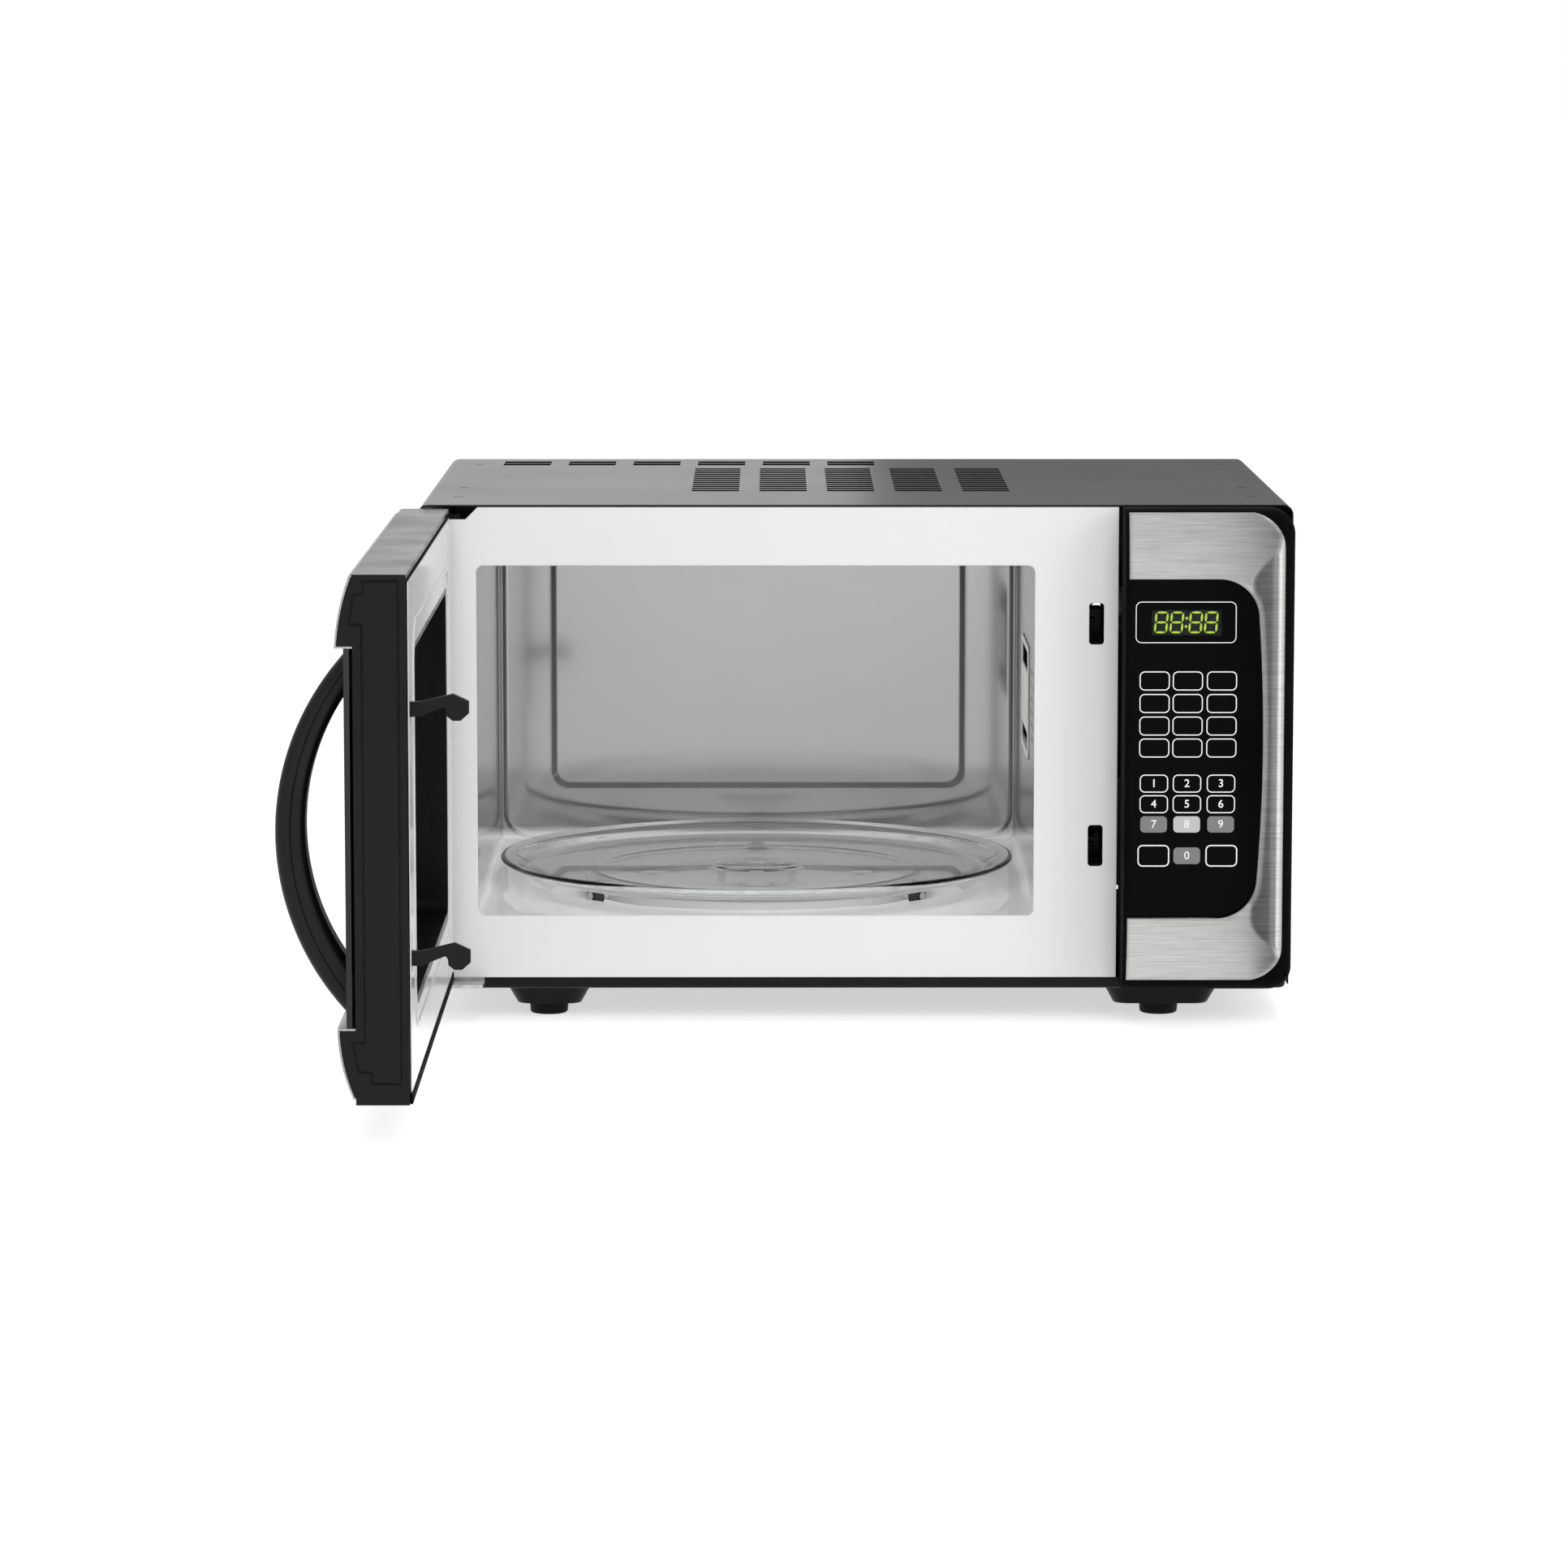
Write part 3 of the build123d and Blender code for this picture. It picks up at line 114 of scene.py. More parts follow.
def powderCoat(name, look):  # powder-coated steel: baked film with a faint orange peel, soft broad gloss
    material, tree, shader = startMaterial(name, Base_Color=toLinear(look["colour"]),
                                           Specular_IOR_Level=look["gloss"])
    where = addNode(tree, "ShaderNodeTexCoord")
    drift = addNode(tree, "ShaderNodeTexNoise", {"Scale": perMm(90.0), "Detail": 2.0},
                    {"Vector": where.outputs["Object"]})
    spread = addNode(tree, "ShaderNodeMapRange", {"From Min": 0.3, "From Max": 0.7, "To Min": look["rough"] - 0.012,
                     "To Max": look["rough"] + 0.012}, {"Value": drift.outputs["Fac"]})
    tree.links.new(spread.outputs["Result"], shader.inputs["Roughness"])
    peel = addNode(tree, "ShaderNodeTexNoise", {"Scale": perMm(look["peel"]), "Detail": 3.0},
                   {"Vector": where.outputs["Object"]})
    edge = addNode(tree, "ShaderNodeBevel", {"Radius": look["edge"] * mm}, samples=4)
    bump = addNode(tree, "ShaderNodeBump", {"Strength": look["depth"], "Distance": 0.2 * mm},
                   {"Height": peel.outputs["Fac"], "Normal": edge.outputs["Normal"]})
    tree.links.new(bump.outputs["Normal"], shader.inputs["Normal"])
    return material


def stoveEnamel(name, look):  # fired enamel on pressed steel: glassy, slightly wavy, faint colour drift
    material, tree, shader = startMaterial(name, Roughness=look["rough"], IOR=1.52, Metallic=look["flake"])
    where = addNode(tree, "ShaderNodeTexCoord")
    drift = addNode(tree, "ShaderNodeTexNoise", {"Scale": perMm(60.0), "Detail": 3.0},
                    {"Vector": where.outputs["Object"]})
    tint = addNode(tree, "ShaderNodeMix", {"A": toLinear(look["colour"]), "B": toLinear(look["drift"])},
                   {"Factor": drift.outputs["Fac"]}, data_type="RGBA")
    tree.links.new(tint.outputs["Result"], shader.inputs["Base Color"])
    if "roof" in look:  # painted light: at and below the floor height, fading out 6 mm above it, the coat is painted pale and less metallic, standing in for light falling on the floor; above the roof only the dark ground shows
        place = addNode(tree, "ShaderNodeSeparateXYZ", wires={"Vector": where.outputs["Object"]})
        paintedLightTop = look["floor"] + 6.0
        paintedLightMask = addNode(tree, "ShaderNodeMapRange", {"From Min": look["floor"] * mm, "From Max": paintedLightTop * mm,
                         "To Min": 1.0, "To Max": 0.0}, {"Value": place.outputs["Z"]})
        pale = addNode(tree, "ShaderNodeMix", {"B": toLinear(look["pale"])}, {"Factor": paintedLightMask.outputs["Result"],
                       "A": tint.outputs["Result"]}, data_type="RGBA")
        above = addNode(tree, "ShaderNodeMath", {1: look["roof"] * mm}, {0: place.outputs["Z"]},
                        operation="GREATER_THAN")
        coat = addNode(tree, "ShaderNodeMix", {"B": toLinear(look["ground"])}, {"Factor": above.outputs["Value"],
                       "A": pale.outputs["Result"]}, data_type="RGBA")
        tree.links.new(coat.outputs["Result"], shader.inputs["Base Color"])
        # painted light: the metallic share drops where the floor is painted pale
        flakes = addNode(tree, "ShaderNodeMapRange", {"To Min": look["flake"], "To Max": 0.0},
                         {"Value": paintedLightMask.outputs["Result"]})
        tree.links.new(flakes.outputs["Result"], shader.inputs["Metallic"])
    wave = addNode(tree, "ShaderNodeTexNoise", {"Scale": perMm(look["wave"]), "Detail": 2.0},
                   {"Vector": where.outputs["Object"]})
    edge = addNode(tree, "ShaderNodeBevel", {"Radius": look["edge"] * mm}, samples=4)
    bump = addNode(tree, "ShaderNodeBump", {"Strength": look["depth"], "Distance": 0.3 * mm},
                   {"Height": wave.outputs["Fac"], "Normal": edge.outputs["Normal"]})
    tree.links.new(bump.outputs["Normal"], shader.inputs["Normal"])
    return material


def brushedStainless(name, look):  # sheet dragged over belts: long streaks across, highlight smeared up and down
    material, tree, shader = startMaterial(name, Metallic=1.0, Anisotropic=look["smear"])
    where = addNode(tree, "ShaderNodeTexCoord")
    stretch = addNode(tree, "ShaderNodeMapping", {"Scale": (perMm(look["length"]), perMm(look["length"]),
                      perMm(look["grain"]))}, {"Vector": where.outputs["Object"]})
    streak = addNode(tree, "ShaderNodeTexNoise", {"Scale": 1.0, "Detail": 6.0, "Roughness": 0.65},
                     {"Vector": stretch.outputs["Vector"]})
    shade = addNode(tree, "ShaderNodeMapRange", {"From Min": 0.28, "From Max": 0.72},
                    {"Value": streak.outputs["Fac"]})
    tint = addNode(tree, "ShaderNodeMix", {"A": toLinear(look["dark"]), "B": toLinear(look["light"])},
                   {"Factor": shade.outputs["Result"]}, data_type="RGBA")
    tree.links.new(tint.outputs["Result"], shader.inputs["Base Color"])
    uneven = addNode(tree, "ShaderNodeMapRange", {"From Min": 0.25, "From Max": 0.75, "To Min": look["rough"] - 0.06,
                     "To Max": look["rough"] + 0.08}, {"Value": streak.outputs["Fac"]})
    tree.links.new(uneven.outputs["Result"], shader.inputs["Roughness"])
    upright = addNode(tree, "ShaderNodeCombineXYZ", {"Z": 1.0})  # light spreads square to the streaks
    tree.links.new(upright.outputs["Vector"], shader.inputs["Tangent"])
    edge = addNode(tree, "ShaderNodeBevel", {"Radius": look["edge"] * mm}, samples=4)
    bump = addNode(tree, "ShaderNodeBump", {"Strength": 0.15, "Distance": 0.05 * mm},
                   {"Height": streak.outputs["Fac"], "Normal": edge.outputs["Normal"]})
    tree.links.new(bump.outputs["Normal"], shader.inputs["Normal"])
    return material


def mouldedPlastic(name, look):  # injection moulding from an etched or polished tool: even colour, fine grain
    material, tree, shader = startMaterial(name, Base_Color=toLinear(look["colour"]),
                                           Specular_IOR_Level=look["gloss"])
    where = addNode(tree, "ShaderNodeTexCoord")
    flow = addNode(tree, "ShaderNodeTexNoise", {"Scale": perMm(45.0), "Detail": 2.0},
                   {"Vector": where.outputs["Object"]})
    spread = addNode(tree, "ShaderNodeMapRange", {"From Min": 0.3, "From Max": 0.7, "To Min": look["rough"] - 0.05,
                     "To Max": look["rough"] + 0.05}, {"Value": flow.outputs["Fac"]})
    tree.links.new(spread.outputs["Result"], shader.inputs["Roughness"])
    grain = addNode(tree, "ShaderNodeTexNoise", {"Scale": perMm(look["grain"]), "Detail": 4.0},
                    {"Vector": where.outputs["Object"]})
    edge = addNode(tree, "ShaderNodeBevel", {"Radius": look["edge"] * mm}, samples=4)
    bump = addNode(tree, "ShaderNodeBump", {"Strength": look["depth"], "Distance": 0.1 * mm},
                   {"Height": grain.outputs["Fac"], "Normal": edge.outputs["Normal"]})
    tree.links.new(bump.outputs["Normal"], shader.inputs["Normal"])
    return material


def bareMetal(name, look):  # plated or bare metal off the press: cloudy gloss with fine drawing marks
    material, tree, shader = startMaterial(name, Metallic=1.0, Roughness=look["rough"])
    where = addNode(tree, "ShaderNodeTexCoord")
    cloud = addNode(tree, "ShaderNodeTexVoronoi", {"Scale": perMm(look["cloud"])},
                    {"Vector": where.outputs["Object"]})
    tint = addNode(tree, "ShaderNodeMix", {"A": toLinear(look["dark"]), "B": toLinear(look["light"])},
                   {"Factor": cloud.outputs["Color"]}, data_type="RGBA")
    tree.links.new(tint.outputs["Result"], shader.inputs["Base Color"])
    scuff = addNode(tree, "ShaderNodeTexNoise", {"Scale": perMm(0.8), "Detail": 4.0},
                    {"Vector": where.outputs["Object"]})
    bump = addNode(tree, "ShaderNodeBump", {"Strength": 0.08, "Distance": 0.1 * mm}, {"Height": scuff.outputs["Fac"]})
    tree.links.new(bump.outputs["Normal"], shader.inputs["Normal"])
    return material


coatLook = {"ior": 1.5, "rough": 0.01}  # the polish that carries the reflections


def clearSheet(name, look):  # glass or clear plastic: see-through body with a faint ripple, casts a pale shadow
    material, tree, shader = startMaterial(name, Base_Color=toLinear(look["colour"]), Roughness=look["rough"],
                                           IOR=look["ior"], Transmission_Weight=look["clear"],
                                           Coat_Weight=look.get("coat", 0.0), Coat_IOR=coatLook["ior"],
                                           Coat_Roughness=coatLook["rough"])
    where = addNode(tree, "ShaderNodeTexCoord")
    ripple = addNode(tree, "ShaderNodeTexNoise", {"Scale": perMm(look["ripple"]), "Detail": 1.0},
                     {"Vector": where.outputs["Object"]})
    bump = addNode(tree, "ShaderNodeBump", {"Strength": look["depth"], "Distance": 0.3 * mm},
                   {"Height": ripple.outputs["Fac"]})
    tree.links.new(bump.outputs["Normal"], shader.inputs["Normal"])
    seen = addNode(tree, "ShaderNodeLightPath")
    through = addNode(tree, "ShaderNodeBsdfTransparent", {"Color": toLinear(look["shade"])})
    lit = addNode(tree, "ShaderNodeMixShader", wires={0: seen.outputs["Is Shadow Ray"], 1: shader.outputs["BSDF"],
                  2: through.outputs["BSDF"]})
    tree.links.new(lit.outputs["Shader"], tree.nodes["Material Output"].inputs["Surface"])
    return material


def screenInk(name, look):  # screen-printed ink: thin matt film with a pinhole grain
    material, tree, shader = startMaterial(name, Roughness=look["rough"], Specular_IOR_Level=0.2)
    where = addNode(tree, "ShaderNodeTexCoord")
    grain = addNode(tree, "ShaderNodeTexNoise", {"Scale": perMm(0.4), "Detail": 2.0},
                    {"Vector": where.outputs["Object"]})
    value = addNode(tree, "ShaderNodeMapRange", {"To Min": 0.94, "To Max": 1.06}, {"Value": grain.outputs["Fac"]})
    body = addNode(tree, "ShaderNodeHueSaturation", {"Color": toLinear(look["colour"])},
                   {"Value": value.outputs["Result"]})
    tree.links.new(body.outputs["Color"], shader.inputs["Base Color"])
    return material


def litSegment(name, look):  # light-emitting diode under a diffuser: bright yellow-green, mottled in a fine noise
    material, tree, shader = startMaterial(name, Base_Color=toLinear(look["off"]), Roughness=0.4,
                                           Emission_Strength=look["power"])
    where = addNode(tree, "ShaderNodeTexCoord")
    mottle = addNode(tree, "ShaderNodeTexNoise", {"Scale": perMm(1.2), "Detail": 1.0},
                     {"Vector": where.outputs["Object"]})
    tint = addNode(tree, "ShaderNodeMix", {"A": toLinear(look["deep"]), "B": toLinear(look["bright"])},
                   {"Factor": mottle.outputs["Fac"]}, data_type="RGBA")
    tree.links.new(tint.outputs["Result"], shader.inputs["Emission Color"])
    return material


def punchedScreen(name, look):  # perforated sheet painted black: rows of round holes at a fixed pitch, the holes painted near-black as painted shade where the dark behind them would show
    material, tree, shader = startMaterial(name, Roughness=0.4, Specular_IOR_Level=0.3)
    where = addNode(tree, "ShaderNodeTexCoord")
    holes = addNode(tree, "ShaderNodeTexVoronoi", {"Scale": perMm(look["pitch"]), "Randomness": 0.0},
                    {"Vector": where.outputs["Object"]})
    rim = addNode(tree, "ShaderNodeMapRange", {"From Min": 0.30, "From Max": 0.36},
                  {"Value": holes.outputs["Distance"]})
    tint = addNode(tree, "ShaderNodeMix", {"A": toLinear(look["hole"]), "B": toLinear(look["sheet"])},
                   {"Factor": rim.outputs["Result"]}, data_type="RGBA")
    tree.links.new(tint.outputs["Result"], shader.inputs["Base Color"])
    bump = addNode(tree, "ShaderNodeBump", {"Strength": 0.4, "Distance": 0.3 * mm}, {"Height": rim.outputs["Result"]})
    tree.links.new(bump.outputs["Normal"], shader.inputs["Normal"])
    return material


def woundWire(name, look):  # enamelled copper wire: tight parallel turns under brown varnish
    material, tree, shader = startMaterial(name, Metallic=0.7, Roughness=0.35)
    where = addNode(tree, "ShaderNodeTexCoord")
    turns = addNode(tree, "ShaderNodeTexWave", {"Scale": perMm(look["wire"]) / 6.3, "Distortion": 0.4},
                    {"Vector": where.outputs["Object"]}, wave_type="BANDS", bands_direction="Z")
    tint = addNode(tree, "ShaderNodeMix", {"A": toLinear(look["dark"]), "B": toLinear(look["light"])},
                   {"Factor": turns.outputs["Fac"]}, data_type="RGBA")
    tree.links.new(tint.outputs["Result"], shader.inputs["Base Color"])
    bump = addNode(tree, "ShaderNodeBump", {"Strength": 0.5, "Distance": 0.4 * mm}, {"Height": turns.outputs["Fac"]})
    tree.links.new(bump.outputs["Normal"], shader.inputs["Normal"])
    return material


cabinetPaint = powderCoat("blackPowderCoatedSteel", {"colour": "#0b0b0c", "rough": 0.30, "peel": 1.6, "depth": 0.10,
                          "gloss": 0.5, "edge": 0.7})
basePaint = powderCoat("blackPaintedBaseSteel", {"colour": "#09090a", "rough": 0.36, "peel": 2.0, "depth": 0.12,
                       "gloss": 0.15, "edge": 0.8})
frontEnamel = stoveEnamel("paleEnamelledSteel", {"colour": "#e6e6e5", "drift": "#e3e3e2", "rough": 0.30, "wave": 6.0,
                          "edge": 1.0, "depth": 0.06, "flake": 0.0})
# the cavity floor gets a painted pale colour, painted light standing in for light on the floor
cavityEnamel = stoveEnamel("silverGreyEnamelledSteel", {"colour": "#9a9a99", "drift": "#969695", "rough": 0.08,
                           "wave": 40.0, "edge": 1.6, "depth": 0.02, "flake": 0.7, "floor": 66.0, "pale": "#ececeb",
                           "roof": 274.4, "ground": "#2a2b2c"})
doorEnamel = stoveEnamel("paleDoorEnamel", {"colour": "#dcdcdb", "drift": "#d6d6d5", "rough": 0.10, "wave": 12.0,
                         "edge": 0.6, "depth": 0.06, "flake": 0.0})
panelSteel = brushedStainless("brushedStainlessPanel", {"dark": "#a2a2a0", "light": "#d8d8d6", "rough": 0.42,
                              "smear": 0.9, "length": 26.0, "grain": 0.45, "edge": 3.5})
blackGrip = mouldedPlastic("etchedBlackAbs", {"colour": "#0a0a0b", "rough": 0.38, "grain": 0.5, "depth": 0.12,
                           "gloss": 0.20, "edge": 0.8})
blackGloss = mouldedPlastic("polishedBlackAbs", {"colour": "#0a0a0b", "rough": 0.24, "grain": 1.5, "depth": 0.03,
                            "gloss": 0.16, "edge": 0.8})
blackMatt = mouldedPlastic("mattBlackPolypropylene", {"colour": "#070708", "rough": 0.80, "grain": 0.8, "depth": 0.10,
                           "gloss": 0.04, "edge": 0.4})
keypadFilm = mouldedPlastic("hardCoatedBlackPolycarbonate", {"colour": "#030304", "rough": 0.26, "grain": 0.7,
                            "depth": 0.04, "gloss": 0.04, "edge": 0.6})
latchNylon = mouldedPlastic("glassFilledBlackNylon", {"colour": "#0c0c0d", "rough": 0.42, "grain": 0.4, "depth": 0.15,
                            "gloss": 0.18, "edge": 0.7})
naturalAcetal = mouldedPlastic("naturalAcetal", {"colour": "#d6d6d5", "rough": 0.35, "grain": 0.8, "depth": 0.06,
                               "gloss": 0.4, "edge": 0.4})
wheelAcetal = mouldedPlastic("darkGreyAcetal", {"colour": "#3a3a3b", "rough": 0.40, "grain": 0.6, "depth": 0.08,
                             "gloss": 0.3, "edge": 0.3})
footRubber = mouldedPlastic("blackRubber", {"colour": "#0c0c0c", "rough": 0.55, "grain": 0.6, "depth": 0.2,
                            "gloss": 0.15, "edge": 0.8})
boardResist = mouldedPlastic("greenSolderResist", {"colour": "#1c4a2c", "rough": 0.3, "grain": 1.0, "depth": 0.1,
                             "gloss": 0.5, "edge": 0.3})
displayFace = mouldedPlastic("darkDisplayFace", {"colour": "#232524", "rough": 0.5, "grain": 0.5, "depth": 0.05,
                             "gloss": 0.2, "edge": 0.3})
micaSheet = stoveEnamel("pressedMica", {"colour": "#dad9d6", "drift": "#d0cfcb", "rough": 0.45, "wave": 3.0,
                        "edge": 0.3, "depth": 0.06, "flake": 0.1})
zincSteel = bareMetal("brightZincSteel", {"dark": "#a4a7a9", "light": "#cccecf", "rough": 0.28, "cloud": 4.0})
backSteel = bareMetal("galvanisedSteel", {"dark": "#9c9fa1", "light": "#adafb1", "rough": 0.42, "cloud": 5.0})
aluminium = bareMetal("bareAluminium", {"dark": "#b6b8ba", "light": "#d2d4d5", "rough": 0.34, "cloud": 3.0})
coreSteel = bareMetal("varnishedLaminations", {"dark": "#2d2e30", "light": "#45464a", "rough": 0.45, "cloud": 1.0})
springWire = bareMetal("drawnSpringWire", {"dark": "#9c9d9f", "light": "#c2c3c5", "rough": 0.2, "cloud": 1.0})
copperWire = woundWire("enamelledCopperWire", {"dark": "#4a2410", "light": "#a35a26", "wire": 1.1})
trayGlass = clearSheet("pressedSodaGlass", {"colour": "#fbfdfc", "rough": 0.01, "ior": 1.14, "clear": 1.0,
                       "ripple": 22.0, "depth": 0.04, "shade": "#f0f2f1", "coat": 1.0})
tintedGlass = clearSheet("smokedDoorGlass", {"colour": "#0c0c0d", "rough": 0.03, "ior": 1.40, "clear": 0.30,
                         "ripple": 40.0, "depth": 0.02, "shade": "#303234"})
clearFilm = clearSheet("clearPolyesterFilm", {"colour": "#e8ebeb", "rough": 0.04, "ior": 1.3, "clear": 0.95,
                       "ripple": 30.0, "depth": 0.03, "shade": "#e0e2e2"})
displayLens = clearSheet("smokedAcrylicLens", {"colour": "#d8dbd9", "rough": 0.0, "ior": 1.10, "clear": 1.0,
                         "ripple": 20.0, "depth": 0.02, "shade": "#c0c2c0"})
lampGlass = clearSheet("lampGlass", {"colour": "#f3f3ee", "rough": 0.03, "ior": 1.5, "clear": 0.95, "ripple": 8.0,
                       "depth": 0.03, "shade": "#f0f0f0"})
whiteInk = screenInk("whiteScreenInk", {"colour": "#ececea", "rough": 0.45})
greyInk = screenInk("greyScreenInk", {"colour": "#7c7c7d", "rough": 0.45})
paleInk = screenInk("paleGreyScreenInk", {"colour": "#bcbcbc", "rough": 0.45})
segmentGlow = litSegment("yellowGreenSegment", {"off": "#5a6a20", "deep": "#a9d328", "bright": "#d9f55a",
                         "power": 1.1})
doorScreen = punchedScreen("perforatedBlackSteel", {"pitch": 2.2, "hole": "#020202", "sheet": "#101011"})
print("finishes made:", len(bpy.data.materials))

nodeFinish = {
    cabinetPaint: ["outer_cabinet"],
    basePaint: ["base_plate", "upper_hinge"],
    frontEnamel: ["front_plate"],
    cavityEnamel: ["oven_cavity"],
    doorEnamel: ["door_panel"],
    panelSteel: ["control_trim", "door_trim"],
    blackGrip: ["door_handle", "cord_gland", "fan_shroud", "air_duct"],
    blackGloss: ["door_frame", "diode"],
    blackMatt: ["choke_cover", "control_housing"],
    keypadFilm: ["keypad_overlay"],
    latchNylon: ["latch_bar", "latch_board", "primary_switch", "secondary_switch", "monitor_switch", "primary_button",
                 "secondary_button", "magnetron_cutout", "cavity_cutout"],
    naturalAcetal: ["roller_ring", "drive_coupler", "turntable_shaft", "fan_blade"],
    wheelAcetal: ["roller_rear", "roller_left", "roller_right"],
    footRubber: ["feet"],
    boardResist: ["control_board", "filter_board"],
    micaSheet: ["waveguide_cover"],
    zincSteel: ["lower_hinge", "cabinet_screws", "handle_screws", "turntable_motor", "capacitor_strap", "lamp_holder",
                "magnetron"],
    backSteel: ["rear_panel", "waveguide"],
    aluminium: ["capacitor"],
    coreSteel: ["transformer_core", "fan_motor"],
    springWire: ["latch_spring", "monitor_leaf"],
    copperWire: ["transformer_coils"],
    trayGlass: ["glass_tray"],
    tintedGlass: ["door_window"],
    clearFilm: ["inner_film"],
    displayLens: ["display_window"],
    lampGlass: ["oven_lamp"],
    displayFace: ["display_module"],
    doorScreen: ["door_screen"],
}
for finish, names in nodeFinish.items():
    for nodeName in names:
        for materialSlot in nodes[nodeName].material_slots:
            materialSlot.material = finish
print("nodes dressed:", sum(len(names) for names in nodeFinish.values()), "of", len(nodes))


# camera, at the photograph's angle

cameraLook = {"place": (-0.02235, -3.4099, 0.5918), "down": 7.433, "turn": -0.104, "lens": 135.19}
cameraData = bpy.data.cameras.new("camera")
cameraData.lens = cameraLook["lens"]
cameraData.sensor_width = 36.0
cameraData.clip_end = 100.0
camera = bpy.data.objects.new("camera", cameraData)
camera.location = cameraLook["place"]
camera.rotation_euler = (math.radians(90 - cameraLook["down"]), 0.0, math.radians(cameraLook["turn"]))
scene.collection.objects.link(camera)
scene.camera = camera


# floor, room, lamps and cards

floorLook = {"size": 30.0, "colour": "#f2f2f2", "lift": 0.60}
bm = bmesh.new()
bmesh.ops.create_grid(bm, x_segments=2, y_segments=2, size=floorLook["size"])
floorMesh = bpy.data.meshes.new("floor")
bm.to_mesh(floorMesh)
bm.free()
floor = bpy.data.objects.new("floor", floorMesh)
scene.collection.objects.link(floor)
material, tree, shader = startMaterial("whiteSweep", Base_Color=toLinear(floorLook["colour"]), Roughness=0.9)
lift = addNode(tree, "ShaderNodeMath", {1: floorLook["lift"]}, {0: whiteRays(tree)}, operation="MULTIPLY")
shader.inputs["Emission Color"].default_value = (1.0, 1.0, 1.0, 1.0)
tree.links.new(lift.outputs["Value"], shader.inputs["Emission Strength"])
floorMesh.materials.append(material)

# the room is white to the eye, in gloss and through glass, and lights the oven with a soft fill
roomLook = {"fill": 0.46}
world = bpy.data.worlds.new("room")
scene.world = world
world.use_nodes = True
tree = world.node_tree
tree.nodes.clear()
white = addNode(tree, "ShaderNodeBackground", {"Color": (1.0, 1.0, 1.0, 1.0)})
fill = addNode(tree, "ShaderNodeBackground", {"Color": (1.0, 1.0, 1.0, 1.0), "Strength": roomLook["fill"]})
blend = addNode(tree, "ShaderNodeMixShader", wires={0: whiteRays(tree), 1: fill.outputs["Background"],
                2: white.outputs["Background"]})
addNode(tree, "ShaderNodeOutputWorld", wires={"Surface": blend.outputs["Shader"]})

lampLook = [
    {"name": "frontLamp", "place": (0.3, -3.4, 2.1), "aim": (0.0, 0.1, 0.17), "size": 2.2, "power": 68.0},
    {"name": "sideLamp", "place": (2.3, -2.2, 1.4), "aim": (0.0, 0.1, 0.15), "size": 1.4, "power": 18.0},
    {"name": "topLamp", "place": (0.1, 0.2, 2.8), "aim": (0.0, 0.2, 0.2), "size": 2.0, "power": 12.0},
    {"name": "ovenLamp", "place": (-0.033, 0.17, 0.268), "aim": (-0.033, 0.17, 0.0), "size": 0.22, "power": 0.55},
]
for lampSpec in lampLook:
    lampData = bpy.data.lights.new(lampSpec["name"], "AREA")
    lampData.shape = "DISK"
    lampData.size = lampSpec["size"]
    lampData.energy = lampSpec["power"]
    lamp = bpy.data.objects.new(lampSpec["name"], lampData)
    lamp.location = lampSpec["place"]
    lamp.rotation_euler = (Vector(lampSpec["aim"]) - Vector(lampSpec["place"])).to_track_quat("-Z", "Y").to_euler()
    lamp.visible_glossy = False  # gloss shows the white room and the cards
    lamp.visible_camera = False
    lamp.visible_transmission = False
    scene.collection.objects.link(lamp)

# cards that only gloss sees: a black one for the dark band on the steel, a white one for its bright edge
# and one at the back that darkens the right of the top
cardLook = [
    {"name": "blackCard", "glow": 0.0, "faces": [(0, 1, 2, 5), (5, 2, 3, 4)],  # its foot folds out to the panel
     "corners": [(0.262, -0.02, 0.002), (0.280, -0.02, 0.002), (0.385, -0.20, 0.002), (0.385, -0.20, 0.80),
                 (0.280, -0.20, 0.80), (0.280, -0.20, 0.002)]},
    {"name": "whiteCard", "glow": 2.3, "faces": [(0, 1, 2, 3)],
     "corners": [(0.50, -0.36, 0.0), (0.50, -0.06, 0.0), (0.50, -0.06, 0.6), (0.50, -0.36, 0.6)]},
    {"name": "rearCard", "glow": 0.32, "faces": [(0, 1, 2, 3)],
     "corners": [(0.05, 1.3, 0.0), (1.5, 0.7, 0.0), (1.5, 0.7, 0.75), (0.05, 1.3, 0.75)]},
]
for cardSpec in cardLook:
    bm = bmesh.new()
    corners = [bm.verts.new(corner) for corner in cardSpec["corners"]]
    for face in cardSpec["faces"]:
        bm.faces.new([corners[i] for i in face])
    cardMesh = bpy.data.meshes.new(cardSpec["name"])
    bm.to_mesh(cardMesh)
    bm.free()
    card = bpy.data.objects.new(cardSpec["name"], cardMesh)
    scene.collection.objects.link(card)
    material, tree, shader = startMaterial(cardSpec["name"], Base_Color=(0.0, 0.0, 0.0, 1.0), Roughness=1.0,
                                           Specular_IOR_Level=0.0, Emission_Color=(1.0, 1.0, 1.0, 1.0),
                                           Emission_Strength=cardSpec["glow"])
    cardMesh.materials.append(material)
    for ray in ("camera", "diffuse", "transmission", "volume_scatter", "shadow"):
        setattr(card, "visible_" + ray, False)
print("camera, floor, lamps and cards set")


# glass tray

trayLook = {"centre": (-58.5, 167.0), "steps": 96, "flat": 71.0,
            "lugSize": (7.0, 11.0, 3.4), "lugPlace": (18.5, 0.0, 65.4), "lugRound": 1.4,
            "bumpCircle": 74.0, "bumpWide": 9.0, "bumpRise": 0.25}


